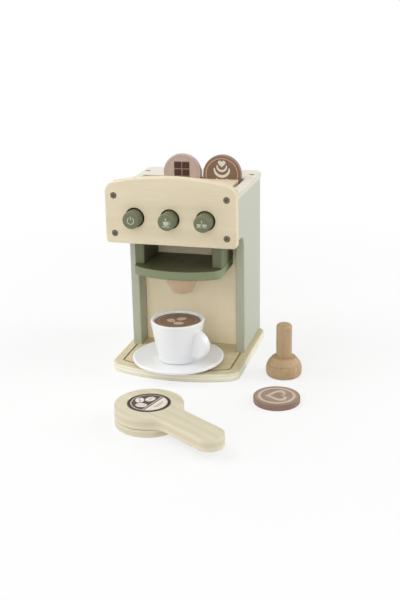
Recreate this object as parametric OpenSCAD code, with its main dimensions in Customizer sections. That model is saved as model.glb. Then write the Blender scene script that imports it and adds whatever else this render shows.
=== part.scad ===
// Wooden toy coffee maker with its cup, saucer, discs, portafilter and tamper.
// Millimetres, +Z up, +Y to the rear, origin at the middle of the base board's underside.

/* [Base board] */
// Width of the base board
base_w = 164; // [150:1:190]
// Depth of the base board at its middle
base_d = 178; // [170:1:210]
// Thickness of the base board
base_t = 11; // [8:0.5:16]
// How far the middle of the front edge stands ahead of its ends
base_bow = 18; // [6:1:24]
// Radius of the two front corners
base_front_r = 18; // [10:1:30]
// Radius of the two rear corners
base_rear_r = 10; // [4:1:20]
// Distance of the routed groove from the edge
groove_inset = 11.5; // [6:0.5:14]
// Width of the routed groove
groove_w = 1.8; // [1:0.1:4]
// Depth of the routed groove
groove_depth = 1.2; // [0.5:0.1:3]

/* [Housing] */
// Width over the two side panels
body_w = 150; // [140:1:180]
// Depth of the lower part of a side panel
column_d = 94.5; // [80:0.5:110]
// Distance of the side panels from the rear edge of the base
rear_inset = 0; // [0:0.5:10]
// Thickness of a side panel
side_t = 11.5; // [9:0.5:15]
// Height of the machine up to the top panel's upper face
body_h = 228.5; // [215:0.5:260]
// Height of the head's underside above the floor
head_z = 167; // [155:0.5:175]
// How far the head stands ahead of the lower part
head_reach = 53.4; // [40:0.2:60]
// Radius of the inner corner below the head
throat_r = 15; // [5:1:25]
// Thickness of the top panel
top_t = 9; // [6:0.5:14]
// How far the top panel stands out over the sides and the rear
top_lip = 1.8; // [0:0.2:5]
// Radius of the top panel's rear corners
top_corner_r = 7; // [2:0.5:15]
// Thickness of the bay, rear and spring boards
thin_t = 6; // [4:0.5:9]
// Depth of the brew bay, from the columns' front to its back board
bay_d = 25.5; // [20:0.5:45]

/* [Front board] */
// Width of the front board
front_w = 162; // [150:1:190]
// Thickness of the front board
front_t = 12; // [9:0.5:16]
// Height of the front board at its middle
front_h = 82.7; // [75:0.1:100]
// Rise of the front board's arched top edge
front_bow = 10; // [4:0.5:16]
// Radius of the upper corners
front_top_r = 14.5; // [8:1:25]
// Radius of the lower corners
front_low_r = 5; // [2:0.5:12]

/* [Buttons] */
// Distance between neighbouring buttons
button_pitch = 43.5; // [36:0.5:50]
// Height of the buttons above the head's underside
button_rise = 32.9; // [28:0.1:40]
// Diameter of the holes in the front board
button_hole_d = 23.6; // [18:0.2:26]
// Diameter of a button's cap
button_d = 21; // [14:0.2:22]
// How far a button stands out of the front board
button_out = 16; // [8:0.1:20]
// How far a button travels
button_travel = 5; // [2:0.5:8]
// Diameter of the flange that keeps a button in
button_flange_d = 27; // [24:0.5:32]
// Thickness of that flange
button_flange_t = 3; // [2:0.5:5]
// Diameter of a button's stem
button_stem_d = 8; // [5:0.5:10]
// Radial running clearance of the stem
stem_play = 0.08; // [0.02:0.01:0.1]
// Distance from the front board to the spring board
spring_gap = 24; // [20:0.5:32]
// Wire diameter of a return spring
wire_d = 0.9; // [0.6:0.1:1.4]
// Middle diameter of a return spring
coil_d = 12; // [10:0.5:16]
// Turns of a return spring
coil_turns = 6; // [4:0.5:9]

/* [Disc rack] */
// Diameter of a small coffee disc
pod_d = 48.8; // [40:0.2:54]
// Thickness of the coffee discs
pod_t = 7.5; // [5:0.5:9]
// Sideways place of the chocolate disc
choc_x = -14; // [-30:0.5:-12]
// Sideways place of the latte disc
latte_x = 38; // [37:0.5:38.5]
// Distance of the discs' front face behind the front board
rack_reach = 90.2; // [80:0.1:100]
// Depth of the discs in the rack below the top panel's upper face
rack_depth = 19.6; // [14:0.2:24]
// Length of the opening in the top panel
rack_open_l = 132; // [128:0.5:136]
// Distance from the opening's front edge to the discs
rack_open_front = 43.8; // [20:1:50]
// Length of the block in front of the discs
rack_block_l = 119; // [90:1:126]
// Thickness of the shelf that the discs stand on
shelf_t = 8; // [5:0.5:10]
// Clearance beside a disc in its seat
pod_gap = 0.3; // [0.2:0.05:0.8]

/* [Portafilter holder] */
// Width of the holder
holder_w = 112; // [100:1:120]
// Sideways place of the holder
holder_x = -1.5; // [-3:0.5:3]
// Height of the holder plate's upper face
holder_z = 132; // [125:0.5:140]
// Thickness of the holder plate
holder_t = 11.5; // [8:0.5:14]
// How far the plate reaches ahead of the lower part
holder_reach = 55; // [45:0.5:60]
// Rise of the plate's bowed front edge
holder_bow = 16; // [4:0.5:18]
// Radius of the plate's front corners
holder_r = 14; // [6:0.5:20]
// Thickness of a cheek
cheek_t = 13; // [8:0.5:14]
// How far the cheeks reach ahead of the lower part
cheek_reach = 31.5; // [20:0.5:32]
// Radius of a cheek's front edges
cheek_edge = 2; // [0.5:0.5:4]
// Largest diameter of the spout
spout_d = 37.6; // [24:1:46]
// Length of the spout
spout_l = 29; // [15:0.5:34]
// Distance of the spout ahead of the lower part
spout_reach = 8; // [6:0.5:18]

/* [Screws] */
// Diameter of a screw head
screw_head_d = 7; // [5:0.2:9]
// Diameter of a screw's shank
screw_d = 3.6; // [2.5:0.1:4.5]
// Length of a screw
screw_l = 30; // [22:1:34]
// Height from the head's underside to the lower front screws
screw_low = 12.5; // [8:0.5:16]
// Height from the lower to the upper front screws
screw_rise = 46.2; // [38:0.5:48]
// Distance of the base screws from the ends of the lower part
base_screw_inset = 16; // [10:1:24]
// Distance of the top screws from the top panel's ends
top_screw_inset = 28; // [20:1:36]
// Diameter of the spout's screw head
spout_screw_head = 6.5; // [4:0.5:8]

/* [Saucer and cup] */
// Diameter of the saucer
saucer_d = 114.4; // [90:0.2:130]
// Height of the saucer
saucer_h = 9.2; // [6:0.1:14]
// Thickness of the saucer's rim
saucer_rim_t = 4.5; // [1.5:0.1:5]
// Thickness of the saucer's floor
saucer_floor_t = 4.6; // [3:0.1:5.5]
// Diameter of the saucer's foot
saucer_foot_d = 64; // [50:1:76]
// Distance of the saucer's middle ahead of the lower part
saucer_reach = 44.9; // [40:0.1:46]
// Height of the cup
cup_h = 52.5; // [45:0.5:54]
// Diameter of the cup's rim
cup_d = 67.2; // [66:0.2:72]
// Diameter of the cup's foot
cup_foot_d = 46.2; // [40:0.2:50]
// Diameter of the cup's tapering wall, drawn down to its foot
cup_low_d = 50; // [46:0.2:60]
// Height of the rounding above the foot
cup_round = 6.5; // [2:0.5:12]
// Wall of the cup at its rim
cup_wall = 3.8; // [3:0.1:5]
// Thickness of the cup's floor
cup_floor_t = 5; // [3:0.5:8]
// Diameter of the coffee disc in the cup
cup_disc_d = 57; // [54:0.1:57]
// Depth of that disc's face below the rim
cup_disc_depth = 2.6; // [1:0.1:6]
// Width of the ledge that the disc lies on
cup_ledge = 3; // [2:0.2:5]
// Distance of the cup handle's tip from the cup's axis
ear_reach = 47; // [44:0.5:54]
// Height of the cup handle
ear_h = 35.2; // [26:0.5:38]
// Height of the cup handle's lower end above the saucer's floor
ear_z = 7.2; // [5:0.5:10]
// Thickness of the cup handle
ear_w = 12; // [8:0.5:14]
// Angle of the cup handle from the sideways direction, towards the front
ear_angle = 22; // [0:1:40]

/* [Portafilter] */
// Diameter of the portafilter's head
filter_d = 78; // [70:1:86]
// Thickness of the upper board, which carries the handle
filter_board_t = 15.2; // [10:0.1:20]
// Thickness of the lower puck
filter_puck_t = 9; // [8:0.5:14]
// Distance from the head's middle to the handle's end
filter_reach = 117; // [95:1:130]
// Width of the handle
filter_handle_w = 33; // [22:1:36]
// Radius of the fillets between head and handle
filter_fillet = 20; // [8:1:30]
// Rounding of the wooden edges
filter_edge = 2; // [1:0.25:4]
// Sideways place of the portafilter
filter_x = 11.4; // [5:0.1:20]
// Place of the portafilter ahead of the machine's middle
filter_y = -203.7; // [-215:0.1:-200]
// Angle of the handle
filter_angle = -33.5; // [-60:1:-10]

/* [Heart disc and tamper] */
// Diameter of the loose heart disc
heart_d = 54.6; // [44:0.2:60]
// Sideways place of the heart disc
heart_x = 138.7; // [130:0.5:150]
// Place of the heart disc ahead of the machine's middle
heart_y = -117.2; // [-130:0.1:-110]
// Diameter of the tamper's foot
tamper_d = 44.2; // [36:0.2:52]
// Height of the tamper's foot
tamper_foot_h = 24; // [20:0.5:32]
// Depth of the turned line around the foot
tamper_line = 0.7; // [0.2:0.1:1.5]
// Diameter of the tamper's handle
tamper_handle_d = 19.2; // [14:0.2:24]
// Height of the tamper
tamper_h = 67; // [60:0.5:80]
// Sideways place of the tamper
tamper_x = 131.8; // [125:0.5:145]
// Place of the tamper ahead of the machine's middle
tamper_y = -36.5; // [-45:0.5:-25]

/* [Hidden] */

// Facets of round parts, and a small overlap that makes cuts run through
round_fn = 96;
eps = 0.5;

// Places that follow from the sizes above
rear_y = base_d / 2 - rear_inset;
column_y = rear_y - column_d;
board_y = column_y - head_reach;
inner_w = body_w - 2 * side_t;
top_z = body_h - top_t;
bay_y = column_y + bay_d;
spring_y = board_y + spring_gap;
button_z = head_z + button_rise;
head_board_t = 6;
shelf_z = body_h - rack_depth;
rack_y = board_y + rack_reach;
rack_front_y = rack_y - rack_open_front;
rack_rear_y = rack_y + pod_t + pod_gap;
shelf_front_gap = 7;
block_drop = 0.4;
spout_x = holder_x - 2.5;
spout_y = column_y - spout_reach;
spout_z = holder_z - holder_t;
saucer_y = column_y - saucer_reach;
cup_z = base_t + saucer_floor_t;
cup_rim_z = cup_z + cup_h;
cup_disc_z = cup_rim_z - cup_disc_depth - pod_t;
filter_h = filter_puck_t + filter_board_t;
screw_sink = 0.4;
screw_x = body_w / 2 - side_t / 2;
driver_d = 2.6;
driver_depth = 1.6;
top_screw_y = [board_y + top_screw_inset, rear_y + top_lip - top_screw_inset];
base_screw_y = [column_y + base_screw_inset, rear_y - base_screw_inset];
saucer_slope = 6;
cup_fillet = 6;
pod_chamfer = 1;
pod_lift = 0.3;
button_edge = 2;
spring_l = spring_gap - button_flange_t;
button_stem_l = spring_l + thin_t;

// ---------- outlines ----------

// A board outline with a bowed front edge (towards -Y), rounded corners and a straight rear edge
module bowed_outline(w, d, bow, front_r, rear_r) {
    big_r = (w * w / 4 + bow * bow) / (2 * bow);
    big_y = -d / 2 + big_r;
    corner_x = w / 2 - front_r;
    corner_y = big_y - sqrt(pow(big_r - front_r, 2) - corner_x * corner_x);
    far = (big_r + 2 * bow) / (big_r - front_r);
    far_x = corner_x * far;
    far_y = big_y + (corner_y - big_y) * far;
    intersection() {
        translate([0, big_y]) circle(r = big_r, $fn = 360);
        polygon([[-far_x, far_y], [far_x, far_y], [corner_x, corner_y], [corner_x, d / 2],
                 [-corner_x, d / 2], [-corner_x, corner_y]]);
    }
    for (side = [-1, 1]) {
        translate([side * corner_x, corner_y]) circle(r = front_r, $fn = round_fn);
        translate([side * (w / 2 - rear_r), d / 2 - rear_r]) circle(r = rear_r, $fn = round_fn);
    }
    translate([-w / 2, corner_y]) square([w, d / 2 - rear_r - corner_y]);
    translate([-w / 2 + rear_r, 0]) square([w - 2 * rear_r, d / 2]);
}

// A rectangle with rounded rear corners, from y0 to y1
module rear_rounded(w, y0, y1, r) {
    translate([-w / 2, y0]) square([w, y1 - r - y0]);
    translate([-w / 2 + r, y0]) square([w - 2 * r, y1 - y0]);
    for (side = [-1, 1])
        translate([side * (w / 2 - r), y1 - r]) circle(r = r, $fn = round_fn);
}

// A round piece turned about Z from a list of [radius, height] points
module turned(points) {
    rotate_extrude($fn = round_fn) polygon(points);
}

// Points of a quarter round from angle a0 to a1, for turned profiles
function arc(r, cx, cy, a0, a1, n = 6) =
    [for (i = [0 : n]) let (a = a0 + (a1 - a0) * i / n) [cx + r * cos(a), cy + r * sin(a)]];

// ---------- screws ----------

// One countersunk screw along -Z, its head's face at z = 0
module wood_screw(head_d, l) {
    cone = (head_d - screw_d) / 2;
    difference() {
        union() {
            translate([0, 0, -cone]) cylinder(d1 = screw_d, d2 = head_d, h = cone, $fn = 48);
            translate([0, 0, -l]) cylinder(d = screw_d, h = l - cone, $fn = 48);
        }
        for (a = [0, 90])
            rotate([0, 0, a])
                translate([-driver_d / 2, -driver_d / 8, -driver_depth])
                    cube([driver_d, driver_d / 4, driver_depth + eps]);
    }
}

// The hole for it, with room above the head
module screw_hole(head_d, l) {
    cone = (head_d - screw_d) / 2;
    translate([0, 0, -cone]) cylinder(d1 = screw_d, d2 = head_d, h = cone, $fn = 48);
    translate([0, 0, -l]) cylinder(d = screw_d, h = l, $fn = 48);
    cylinder(d = head_d, h = 2 * screw_sink + eps, $fn = 48);
}

// Places: front screws look to -Y, top screws up and base screws down
module at_front_screws() {
    for (side = [-1, 1], up = [0, 1])
        translate([side * screw_x, board_y - front_t + screw_sink, head_z + screw_low + up * screw_rise])
            rotate([90, 0, 0]) children();
}
module at_top_screws() {
    for (side = [-1, 1], y = top_screw_y)
        translate([side * screw_x, y, body_h - screw_sink]) children();
}
module at_base_screws() {
    for (side = [-1, 1], y = base_screw_y)
        translate([side * screw_x, y, screw_sink]) rotate([180, 0, 0]) children();
}
module at_spout_screw() {
    translate([spout_x, spout_y, holder_z - screw_sink]) children();
}

// ---------- housing ----------

module base_outline(inset) {
    bowed_outline(base_w - 2 * inset, base_d - 2 * inset, base_bow * (1 - 2 * inset / base_w),
                  base_front_r - inset, max(base_rear_r - inset, 1));
}

module base_board() {
    color("burlywood") difference() {
        linear_extrude(base_t) base_outline(0);
        translate([0, 0, base_t - groove_depth]) linear_extrude(groove_depth + eps)
            difference() {
                base_outline(groove_inset);
                base_outline(groove_inset + groove_w);
                translate([-base_w / 2, column_y]) square([base_w, base_d]);
            }
        at_base_screws() screw_hole(screw_head_d, screw_l);
    }
}

module base_screws() {
    color("dimgray") at_base_screws() wood_screw(screw_head_d, screw_l);
}

// Outline of a side panel, drawn in [y, z]
module side_outline() {
    translate([column_y, base_t]) square([column_d, top_z - base_t]);
    translate([board_y, head_z]) square([rear_y - board_y, top_z - head_z]);
    translate([column_y, head_z]) difference() {
        translate([-throat_r, -throat_r]) square([throat_r + eps, throat_r + eps]);
        translate([-throat_r, -throat_r]) circle(r = throat_r, $fn = round_fn);
    }
}

module side_panel(x) {
    color("darkseagreen") difference() {
        translate([x, 0, 0]) rotate([90, 0, 90]) linear_extrude(side_t) side_outline();
        at_front_screws() screw_hole(screw_head_d, screw_l);
        at_top_screws() screw_hole(screw_head_d, screw_l);
        at_base_screws() screw_hole(screw_head_d, screw_l);
    }
}

module left_side_panel() { side_panel(-body_w / 2); }
module right_side_panel() { side_panel(body_w / 2 - side_t); }

module front_board() {
    color("wheat") difference() {
        translate([0, board_y, head_z + front_h / 2])
            rotate([90, 0, 0]) linear_extrude(front_t) mirror([0, 1])
                bowed_outline(front_w, front_h, front_bow, front_top_r, front_low_r);
        for (i = [-1 : 1])
            translate([i * button_pitch, board_y + eps, button_z])
                rotate([90, 0, 0]) cylinder(d = button_hole_d, h = front_t + 2 * eps, $fn = round_fn);
        at_front_screws() screw_hole(screw_head_d, screw_l);
    }
}

module front_screws() {
    color("dimgray") at_front_screws() wood_screw(screw_head_d, screw_l);
}

module top_panel() {
    color("wheat") difference() {
        translate([0, 0, top_z]) linear_extrude(top_t)
            rear_rounded(body_w + 2 * top_lip, board_y, rear_y + top_lip, top_corner_r);
        translate([-rack_open_l / 2, rack_front_y, top_z - eps])
            cube([rack_open_l, rack_rear_y - rack_front_y, top_t + 2 * eps]);
        at_front_screws() screw_hole(screw_head_d, screw_l);
        at_top_screws() screw_hole(screw_head_d, screw_l);
    }
}

module top_screws() {
    color("dimgray") at_top_screws() wood_screw(screw_head_d, screw_l);
}

module bay_back_board() {
    color("wheat")
        translate([-inner_w / 2, bay_y, base_t]) cube([inner_w, thin_t, shelf_z - shelf_t - base_t]);
}

module rear_panel() {
    color("wheat")
        translate([-inner_w / 2, rear_y - thin_t, base_t]) cube([inner_w, thin_t, top_z - base_t]);
}

module head_floor() {
    color("wheat")
        translate([-inner_w / 2, board_y, head_z]) cube([inner_w, bay_y - board_y, head_board_t]);
}

// The board behind the buttons, which guides their stems and takes the springs
module spring_board() {
    color("wheat") difference() {
        translate([-inner_w / 2, spring_y, head_z + head_board_t])
            cube([inner_w, thin_t, top_z - head_z - head_board_t]);
        for (i = [-1 : 1])
            translate([i * button_pitch, spring_y - eps, button_z])
                rotate([-90, 0, 0])
                    cylinder(d = button_stem_d + 2 * stem_play, h = thin_t + 2 * eps, $fn = round_fn);
    }
}

module disc_shelf() {
    color("wheat") {
        front = rack_front_y - shelf_front_gap;
        translate([-inner_w / 2, front, shelf_z - shelf_t])
            cube([inner_w, rear_y - thin_t - front, shelf_t]);
    }
}

module rack_block() {
    color("tan")
        translate([-rack_block_l / 2, rack_front_y + pod_gap, shelf_z])
            cube([rack_block_l, rack_open_front - 2 * pod_gap, rack_depth - block_drop]);
}

// ---------- holder for the portafilter ----------

module holder_plate() {
    plate_d = holder_reach + bay_d;
    color("olivedrab") difference() {
        translate([holder_x, bay_y - plate_d / 2, holder_z - holder_t]) linear_extrude(holder_t)
            bowed_outline(holder_w, plate_d, holder_bow, holder_r, 1);
        at_spout_screw() screw_hole(spout_screw_head, screw_l);
    }
}

module cheek(x) {
    front = column_y - cheek_reach;
    color("olivedrab")
        translate([x, 0, holder_z]) linear_extrude(head_z - holder_z) {
            translate([0, front + cheek_edge]) square([cheek_t, bay_y - front - cheek_edge]);
            translate([cheek_edge, front]) square([cheek_t - 2 * cheek_edge, cheek_edge + eps]);
            for (cx = [cheek_edge, cheek_t - cheek_edge])
                translate([cx, front + cheek_edge]) circle(r = cheek_edge, $fn = 32);
        }
}

module holder_left_cheek() { cheek(holder_x - holder_w / 2); }
module holder_right_cheek() { cheek(holder_x + holder_w / 2 - cheek_t); }

// Turned spout: a short cylinder, then a cone with a rounded end
module spout() {
    top_r = spout_d / 2;
    nose = concat([[top_r, -0.55 * spout_l]], [for (a = [0 : 15 : 90])
        [top_r * (0.55 + 0.17 * cos(a)), -spout_l * (0.92 + 0.08 * sin(a))]]);
    color("rosybrown") difference() {
        translate([spout_x, spout_y, spout_z])
            turned(concat([[0, 0], [top_r, 0]], nose, [[0, -spout_l]]));
        at_spout_screw() screw_hole(spout_screw_head, screw_l);
    }
}

module spout_screw() {
    color("black") at_spout_screw() wood_screw(spout_screw_head, screw_l);
}

// ---------- buttons ----------

// A turned button along -Y: cap through the board, flange behind it, stem into the spring board
module button(i) {
    cap_r = button_d / 2;
    cap_l = front_t + button_out;
    translate([i * button_pitch, board_y, button_z]) rotate([90, 0, 0])
        turned(concat([[0, -button_flange_t - button_stem_l],
                       [button_stem_d / 2 - 0.5, -button_flange_t - button_stem_l],
                       [button_stem_d / 2, -button_flange_t - button_stem_l + 0.5],
                       [button_stem_d / 2, -button_flange_t],
                       [button_flange_d / 2, -button_flange_t],
                       [button_flange_d / 2, 0], [cap_r, 0]],
                      arc(button_edge, cap_r - button_edge, cap_l - button_edge, 0, 90),
                      [[0, cap_l]]));
}

module power_button() { color("darkolivegreen") button(-1); }
module single_button() { color("darkolivegreen") button(0); }
module double_button() { color("darkolivegreen") button(1); }

// Points of a coil along +Y with flat end turns
coil_steps = 14;
coil_sides = 6;
function coil_point(t, l) =
    let (a = 360 * t * coil_turns,
         flat = 0.12,
         rise = t < flat ? 0 : t > 1 - flat ? 1 : (t - flat) / (1 - 2 * flat))
    [coil_d / 2 * cos(a), wire_d / 2 + (l - wire_d) * rise, coil_d / 2 * sin(a)];

// A return spring between a button's flange and the spring board
module return_spring(i) {
    n = coil_turns * coil_steps;
    pts = [for (k = [0 : n]) coil_point(k / n, spring_l)];
    rings = [for (k = [0 : n], s = [0 : coil_sides - 1])
        let (a = 360 * k / coil_steps,
             b = 360 * s / coil_sides,
             radial = wire_d / 2 * cos(b),
             along = wire_d / 2 * sin(b))
        [pts[k][0] + radial * cos(a), pts[k][1] + along, pts[k][2] + radial * sin(a)]];
    walls = [for (k = [0 : n - 1], s = [0 : coil_sides - 1])
        let (s2 = (s + 1) % coil_sides)
        [k * coil_sides + s, (k + 1) * coil_sides + s, (k + 1) * coil_sides + s2, k * coil_sides + s2]];
    first = [for (s = [0 : coil_sides - 1]) s];
    last = [for (s = [coil_sides - 1 : -1 : 0]) n * coil_sides + s];
    color("silver") translate([i * button_pitch, board_y + button_flange_t, button_z])
        polyhedron(rings, concat(walls, [first, last]));
}

module power_spring() { return_spring(-1); }
module single_spring() { return_spring(0); }
module double_spring() { return_spring(1); }

// ---------- discs ----------

// A turned disc lying on z = 0
module disc(d, t) {
    c = pod_chamfer;
    turned([[0, 0], [d / 2 - c, 0], [d / 2, c], [d / 2, t - c], [d / 2 - c, t], [0, t]]);
}

// A disc standing in the rack, its face to the front
module standing_disc(x) {
    translate([x, rack_y + pod_t, shelf_z + pod_lift + pod_d / 2])
        rotate([90, 0, 0]) disc(pod_d, pod_t);
}

module chocolate_disc() { color("rosybrown") standing_disc(choc_x); }
module latte_disc() { color("saddlebrown") standing_disc(latte_x); }
module heart_disc() { color("sienna") translate([heart_x, heart_y, 0]) disc(heart_d, pod_t); }

// ---------- saucer and cup ----------

module saucer() {
    r = saucer_d / 2;
    foot = saucer_foot_d / 2;
    well = cup_foot_d / 2 + 1.5;
    edge = saucer_rim_t / 2;
    color("white") translate([0, saucer_y, base_t])
        turned(concat([[0, 0], [foot, 0], [foot + 1, 0.6],
                       [r - saucer_slope, saucer_h - saucer_rim_t - 0.8]],
                      arc(edge, r - edge, saucer_h - edge, -90, 90, 8),
                      [[r - saucer_slope, saucer_h - 0.6],
                       [well + saucer_slope, saucer_floor_t + 0.5],
                       [well, saucer_floor_t], [0, saucer_floor_t]]));
}

// Outer radius of the cup's tapering wall at a height above its foot
function cup_r(z) = (cup_low_d + (cup_d - cup_low_d) * z / cup_h) / 2;

// Outer profile of the cup below its rim: a rounding above the foot, then the tapering wall
function cup_profile(top) =
    let (foot = cup_foot_d / 2, wide = cup_r(cup_round))
    concat([for (a = [-90 : 15 : 0]) [foot + (wide - foot) * cos(a), cup_round * (1 + sin(a))]],
           [[cup_r(top), top]]);

module cup() {
    pocket_r = cup_disc_d / 2 + pod_gap;
    pocket_z = cup_disc_z - cup_z;
    lip = cup_wall / 2;
    low_r = min(cup_r(cup_floor_t + cup_fillet) - cup_wall, pocket_r - cup_ledge);
    top_r = min(cup_r(pocket_z) - cup_wall, pocket_r - cup_ledge);
    color("white") translate([0, saucer_y, cup_z])
        turned(concat([[0, 0]],
                      cup_profile(cup_h - lip),
                      arc(lip, cup_d / 2 - lip, cup_h - lip, 20, 160, 8),
                      [[pocket_r, cup_h - cup_disc_depth - 1], [pocket_r, pocket_z],
                       [top_r, pocket_z], [low_r, cup_floor_t + cup_fillet],
                       [low_r - 0.3 * cup_fillet, cup_floor_t + 0.3 * cup_fillet],
                       [low_r - cup_fillet, cup_floor_t], [0, cup_floor_t]]));
}

// A solid ear with a round end, cut to the cup's outside
module cup_handle() {
    r = ear_h / 2;
    color("white") translate([0, saucer_y, cup_z]) rotate([0, 0, -ear_angle])
        difference() {
            translate([0, ear_w / 2, ear_z + r]) rotate([90, 0, 0]) linear_extrude(ear_w) {
                translate([ear_reach - r, 0]) circle(r = r, $fn = round_fn);
                translate([0, -r]) square([ear_reach - r, 2 * r]);
            }
            turned(concat([[0, 0]], cup_profile(cup_h), [[0, cup_h]]));
        }
}

module cup_disc() {
    color("saddlebrown") translate([0, saucer_y, cup_disc_z]) disc(cup_disc_d, pod_t);
}

// ---------- portafilter ----------

// Outline of the head and its handle, as one line with a fillet on either side
module filter_outline() {
    w = filter_handle_w / 2;
    r = filter_d / 2;
    // middle of the fillet circle that touches both the head and the handle's side
    fy = w + filter_fillet;
    fx = sqrt(pow(r + filter_fillet, 2) - fy * fy);
    lean = atan2(fy, fx);
    side = concat(arc(r, 0, 0, 180, lean, 40),
                  arc(filter_fillet, fx, fy, 180 + lean + 3, 270, 12),
                  arc(w, filter_reach - w, 0, 90, 0, 16));
    polygon(concat(side, [for (i = [len(side) - 2 : -1 : 1]) [side[i][0], -side[i][1]]]));
}

module at_filter() {
    translate([filter_x, filter_y, 0]) rotate([0, 0, filter_angle]) children();
}

module portafilter_board() {
    color("wheat") at_filter() difference() {
        translate([0, 0, filter_puck_t]) linear_extrude(filter_board_t) filter_outline();
        translate([0, 0, filter_h - pod_t])
            cylinder(r = pod_d / 2 + pod_gap, h = pod_t + eps, $fn = round_fn);
    }
}

module portafilter_puck() {
    r = filter_d / 2;
    e = filter_edge;
    color("burlywood") at_filter()
        turned(concat([[0, 0]], arc(e, r - e, e, -90, 0), arc(e, r - e, filter_puck_t - e, 0, 90),
                      [[0, filter_puck_t]]));
}

module bean_disc() {
    color("black") at_filter() translate([0, 0, filter_h - pod_t]) disc(pod_d, pod_t);
}

// ---------- tamper ----------

module tamper_handle() {
    r = tamper_handle_d / 2;
    edge = 4;
    color("peru") translate([tamper_x, tamper_y, tamper_foot_h])
        turned(concat([[0, 0], [r, 0]],
                      arc(edge, r - edge, tamper_h - tamper_foot_h - edge, 0, 90),
                      [[0, tamper_h - tamper_foot_h]]));
}

// Turned foot: a rounded lower edge, a short straight belt and a shoulder with a turned line
module tamper_foot() {
    r = tamper_d / 2;
    h = tamper_foot_h;
    belt = [0.23 * h, 0.41 * h];
    low = [for (a = [0 : 15 : 90]) [r * (0.84 + 0.16 * sin(a)), belt[0] * (1 - cos(a))]];
    shoulder = [for (i = [0 : 12]) let (t = i / 12, cut = i == 5 ? tamper_line : 0)
        [r * (1 - 0.34 * pow(t, 1.9)) - cut, belt[1] + (h - belt[1]) * t]];
    color("peru") translate([tamper_x, tamper_y, 0])
        turned(concat([[0, 0]], low, shoulder, [[0, h]]));
}

base_board();
base_screws();
left_side_panel();
right_side_panel();
front_board();
front_screws();
top_panel();
top_screws();
bay_back_board();
rear_panel();
head_floor();
spring_board();
disc_shelf();
rack_block();
holder_plate();
holder_left_cheek();
holder_right_cheek();
spout();
spout_screw();
power_button();
single_button();
double_button();
power_spring();
single_spring();
double_spring();
chocolate_disc();
latte_disc();
saucer();
cup();
cup_handle();
cup_disc();
portafilter_board();
portafilter_puck();
bean_disc();
heart_disc();
tamper_handle();
tamper_foot();
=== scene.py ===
"""Wooden toy coffee maker: finished pieces, materials and stage on the CAD frame.

Lengths in the shape code are millimetres; a Form turns them into metres when its piece is made.
"""

import math

import bmesh
import bpy
from bpy.props import FloatProperty, FloatVectorProperty, IntProperty, PointerProperty
from mathutils import Matrix, Vector
from mathutils.geometry import tessellate_polygon


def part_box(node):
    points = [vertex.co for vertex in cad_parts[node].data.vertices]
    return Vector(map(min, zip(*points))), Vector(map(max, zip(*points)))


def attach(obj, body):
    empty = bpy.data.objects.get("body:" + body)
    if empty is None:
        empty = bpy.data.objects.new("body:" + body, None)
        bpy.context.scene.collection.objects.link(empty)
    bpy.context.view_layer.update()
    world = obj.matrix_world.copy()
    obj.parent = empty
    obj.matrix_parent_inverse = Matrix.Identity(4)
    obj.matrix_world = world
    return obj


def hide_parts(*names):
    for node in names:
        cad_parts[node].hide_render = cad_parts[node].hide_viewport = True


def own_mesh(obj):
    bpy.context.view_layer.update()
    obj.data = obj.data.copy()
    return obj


bl_info = {
    "name": "Toy Coffee Maker",
    "version": (1, 0, 0),
    "blender": (4, 5, 0),
    "location": "View3D > Sidebar > Coffee Maker",
    "description": "Builds the finished pieces of a wooden toy coffee maker on its CAD frame",
    "category": "Object",
}

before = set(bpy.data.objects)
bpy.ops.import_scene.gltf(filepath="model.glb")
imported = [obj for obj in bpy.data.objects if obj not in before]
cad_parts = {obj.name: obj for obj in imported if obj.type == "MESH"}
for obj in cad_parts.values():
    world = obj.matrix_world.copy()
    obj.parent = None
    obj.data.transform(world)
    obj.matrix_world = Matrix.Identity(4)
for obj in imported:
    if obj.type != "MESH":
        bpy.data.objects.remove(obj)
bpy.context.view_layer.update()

BUTTONS = ("power", "single", "double")

# Sizes of the machine that its CAD boxes don't tell, in millimetres
BASE_BOW = 18
BASE_FRONT_R = 18
BASE_REAR_R = 10
GROOVE_NEAR = 11.5
GROOVE_FAR = 13.3
GROOVE_DEPTH = 1.2
COLUMN_DEPTH = 94.5
HEAD_Z = 167.0
THROAT_R = 15.0
TOP_CORNER_R = 7.0
RACK_LENGTH = 132
RACK_GAP = 0.3
FRONT_BOW = 10
FRONT_TOP_R = 14.5
FRONT_LOW_R = 5
HOLDER_BOW = 16
HOLDER_FRONT_R = 14
BUTTON_HOLE_D = 23.6
BUTTON_D = 21
BUTTON_STEM_D = 8
BUTTON_FLANGE_T = 3

# Screws, in millimetres
SCREW_HEAD_D = 7.0
SPOUT_SCREW_HEAD_D = 6.5
SCREW_SHANK_D = 3.6
SCREW_LENGTH = 30
RECESS_WIDTH = 3.2
SCREW_X = (-69.25, 69.25)
FRONT_SCREWS = [(x, z) for x in SCREW_X for z in (179.5, 225.7)]
TOP_SCREWS = [(x, y) for x in SCREW_X for y in (-30.9, 62.8)]
BASE_SCREWS = [(x, y) for x in SCREW_X for y in (10.5, 73.0)]
SPOUT_SCREW = (-4, -13.5)

# Sizes of the loose pieces, in millimetres and degrees
CUP_D = 67.2
CUP_LOW_D = 50
EAR_R = 17.6
EAR_REACH = 47.0
EAR_Z = 24.8
EAR_W = 12
EAR_ANGLE = 22
FILTER_PLACE = (11.4, -203.7)
FILTER_ANGLE = -33.5
FILTER_D = 78
FILTER_HANDLE_W = 33
FILTER_FILLET = 20.0
FILTER_REACH = 117.0
POCKET_R = 24.7
DISC_T = 7.5

# Mesh making
WELD = 1e-4  # Points closer than this many millimetres are one
DENT_LIP = 0.3  # Rounding of a dent's rim, in millimetres
PRINT_ROOT = 0.05  # How far ink reaches into its face, in millimetres
DISC_STEPS = 96  # Points around a printed circle

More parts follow.
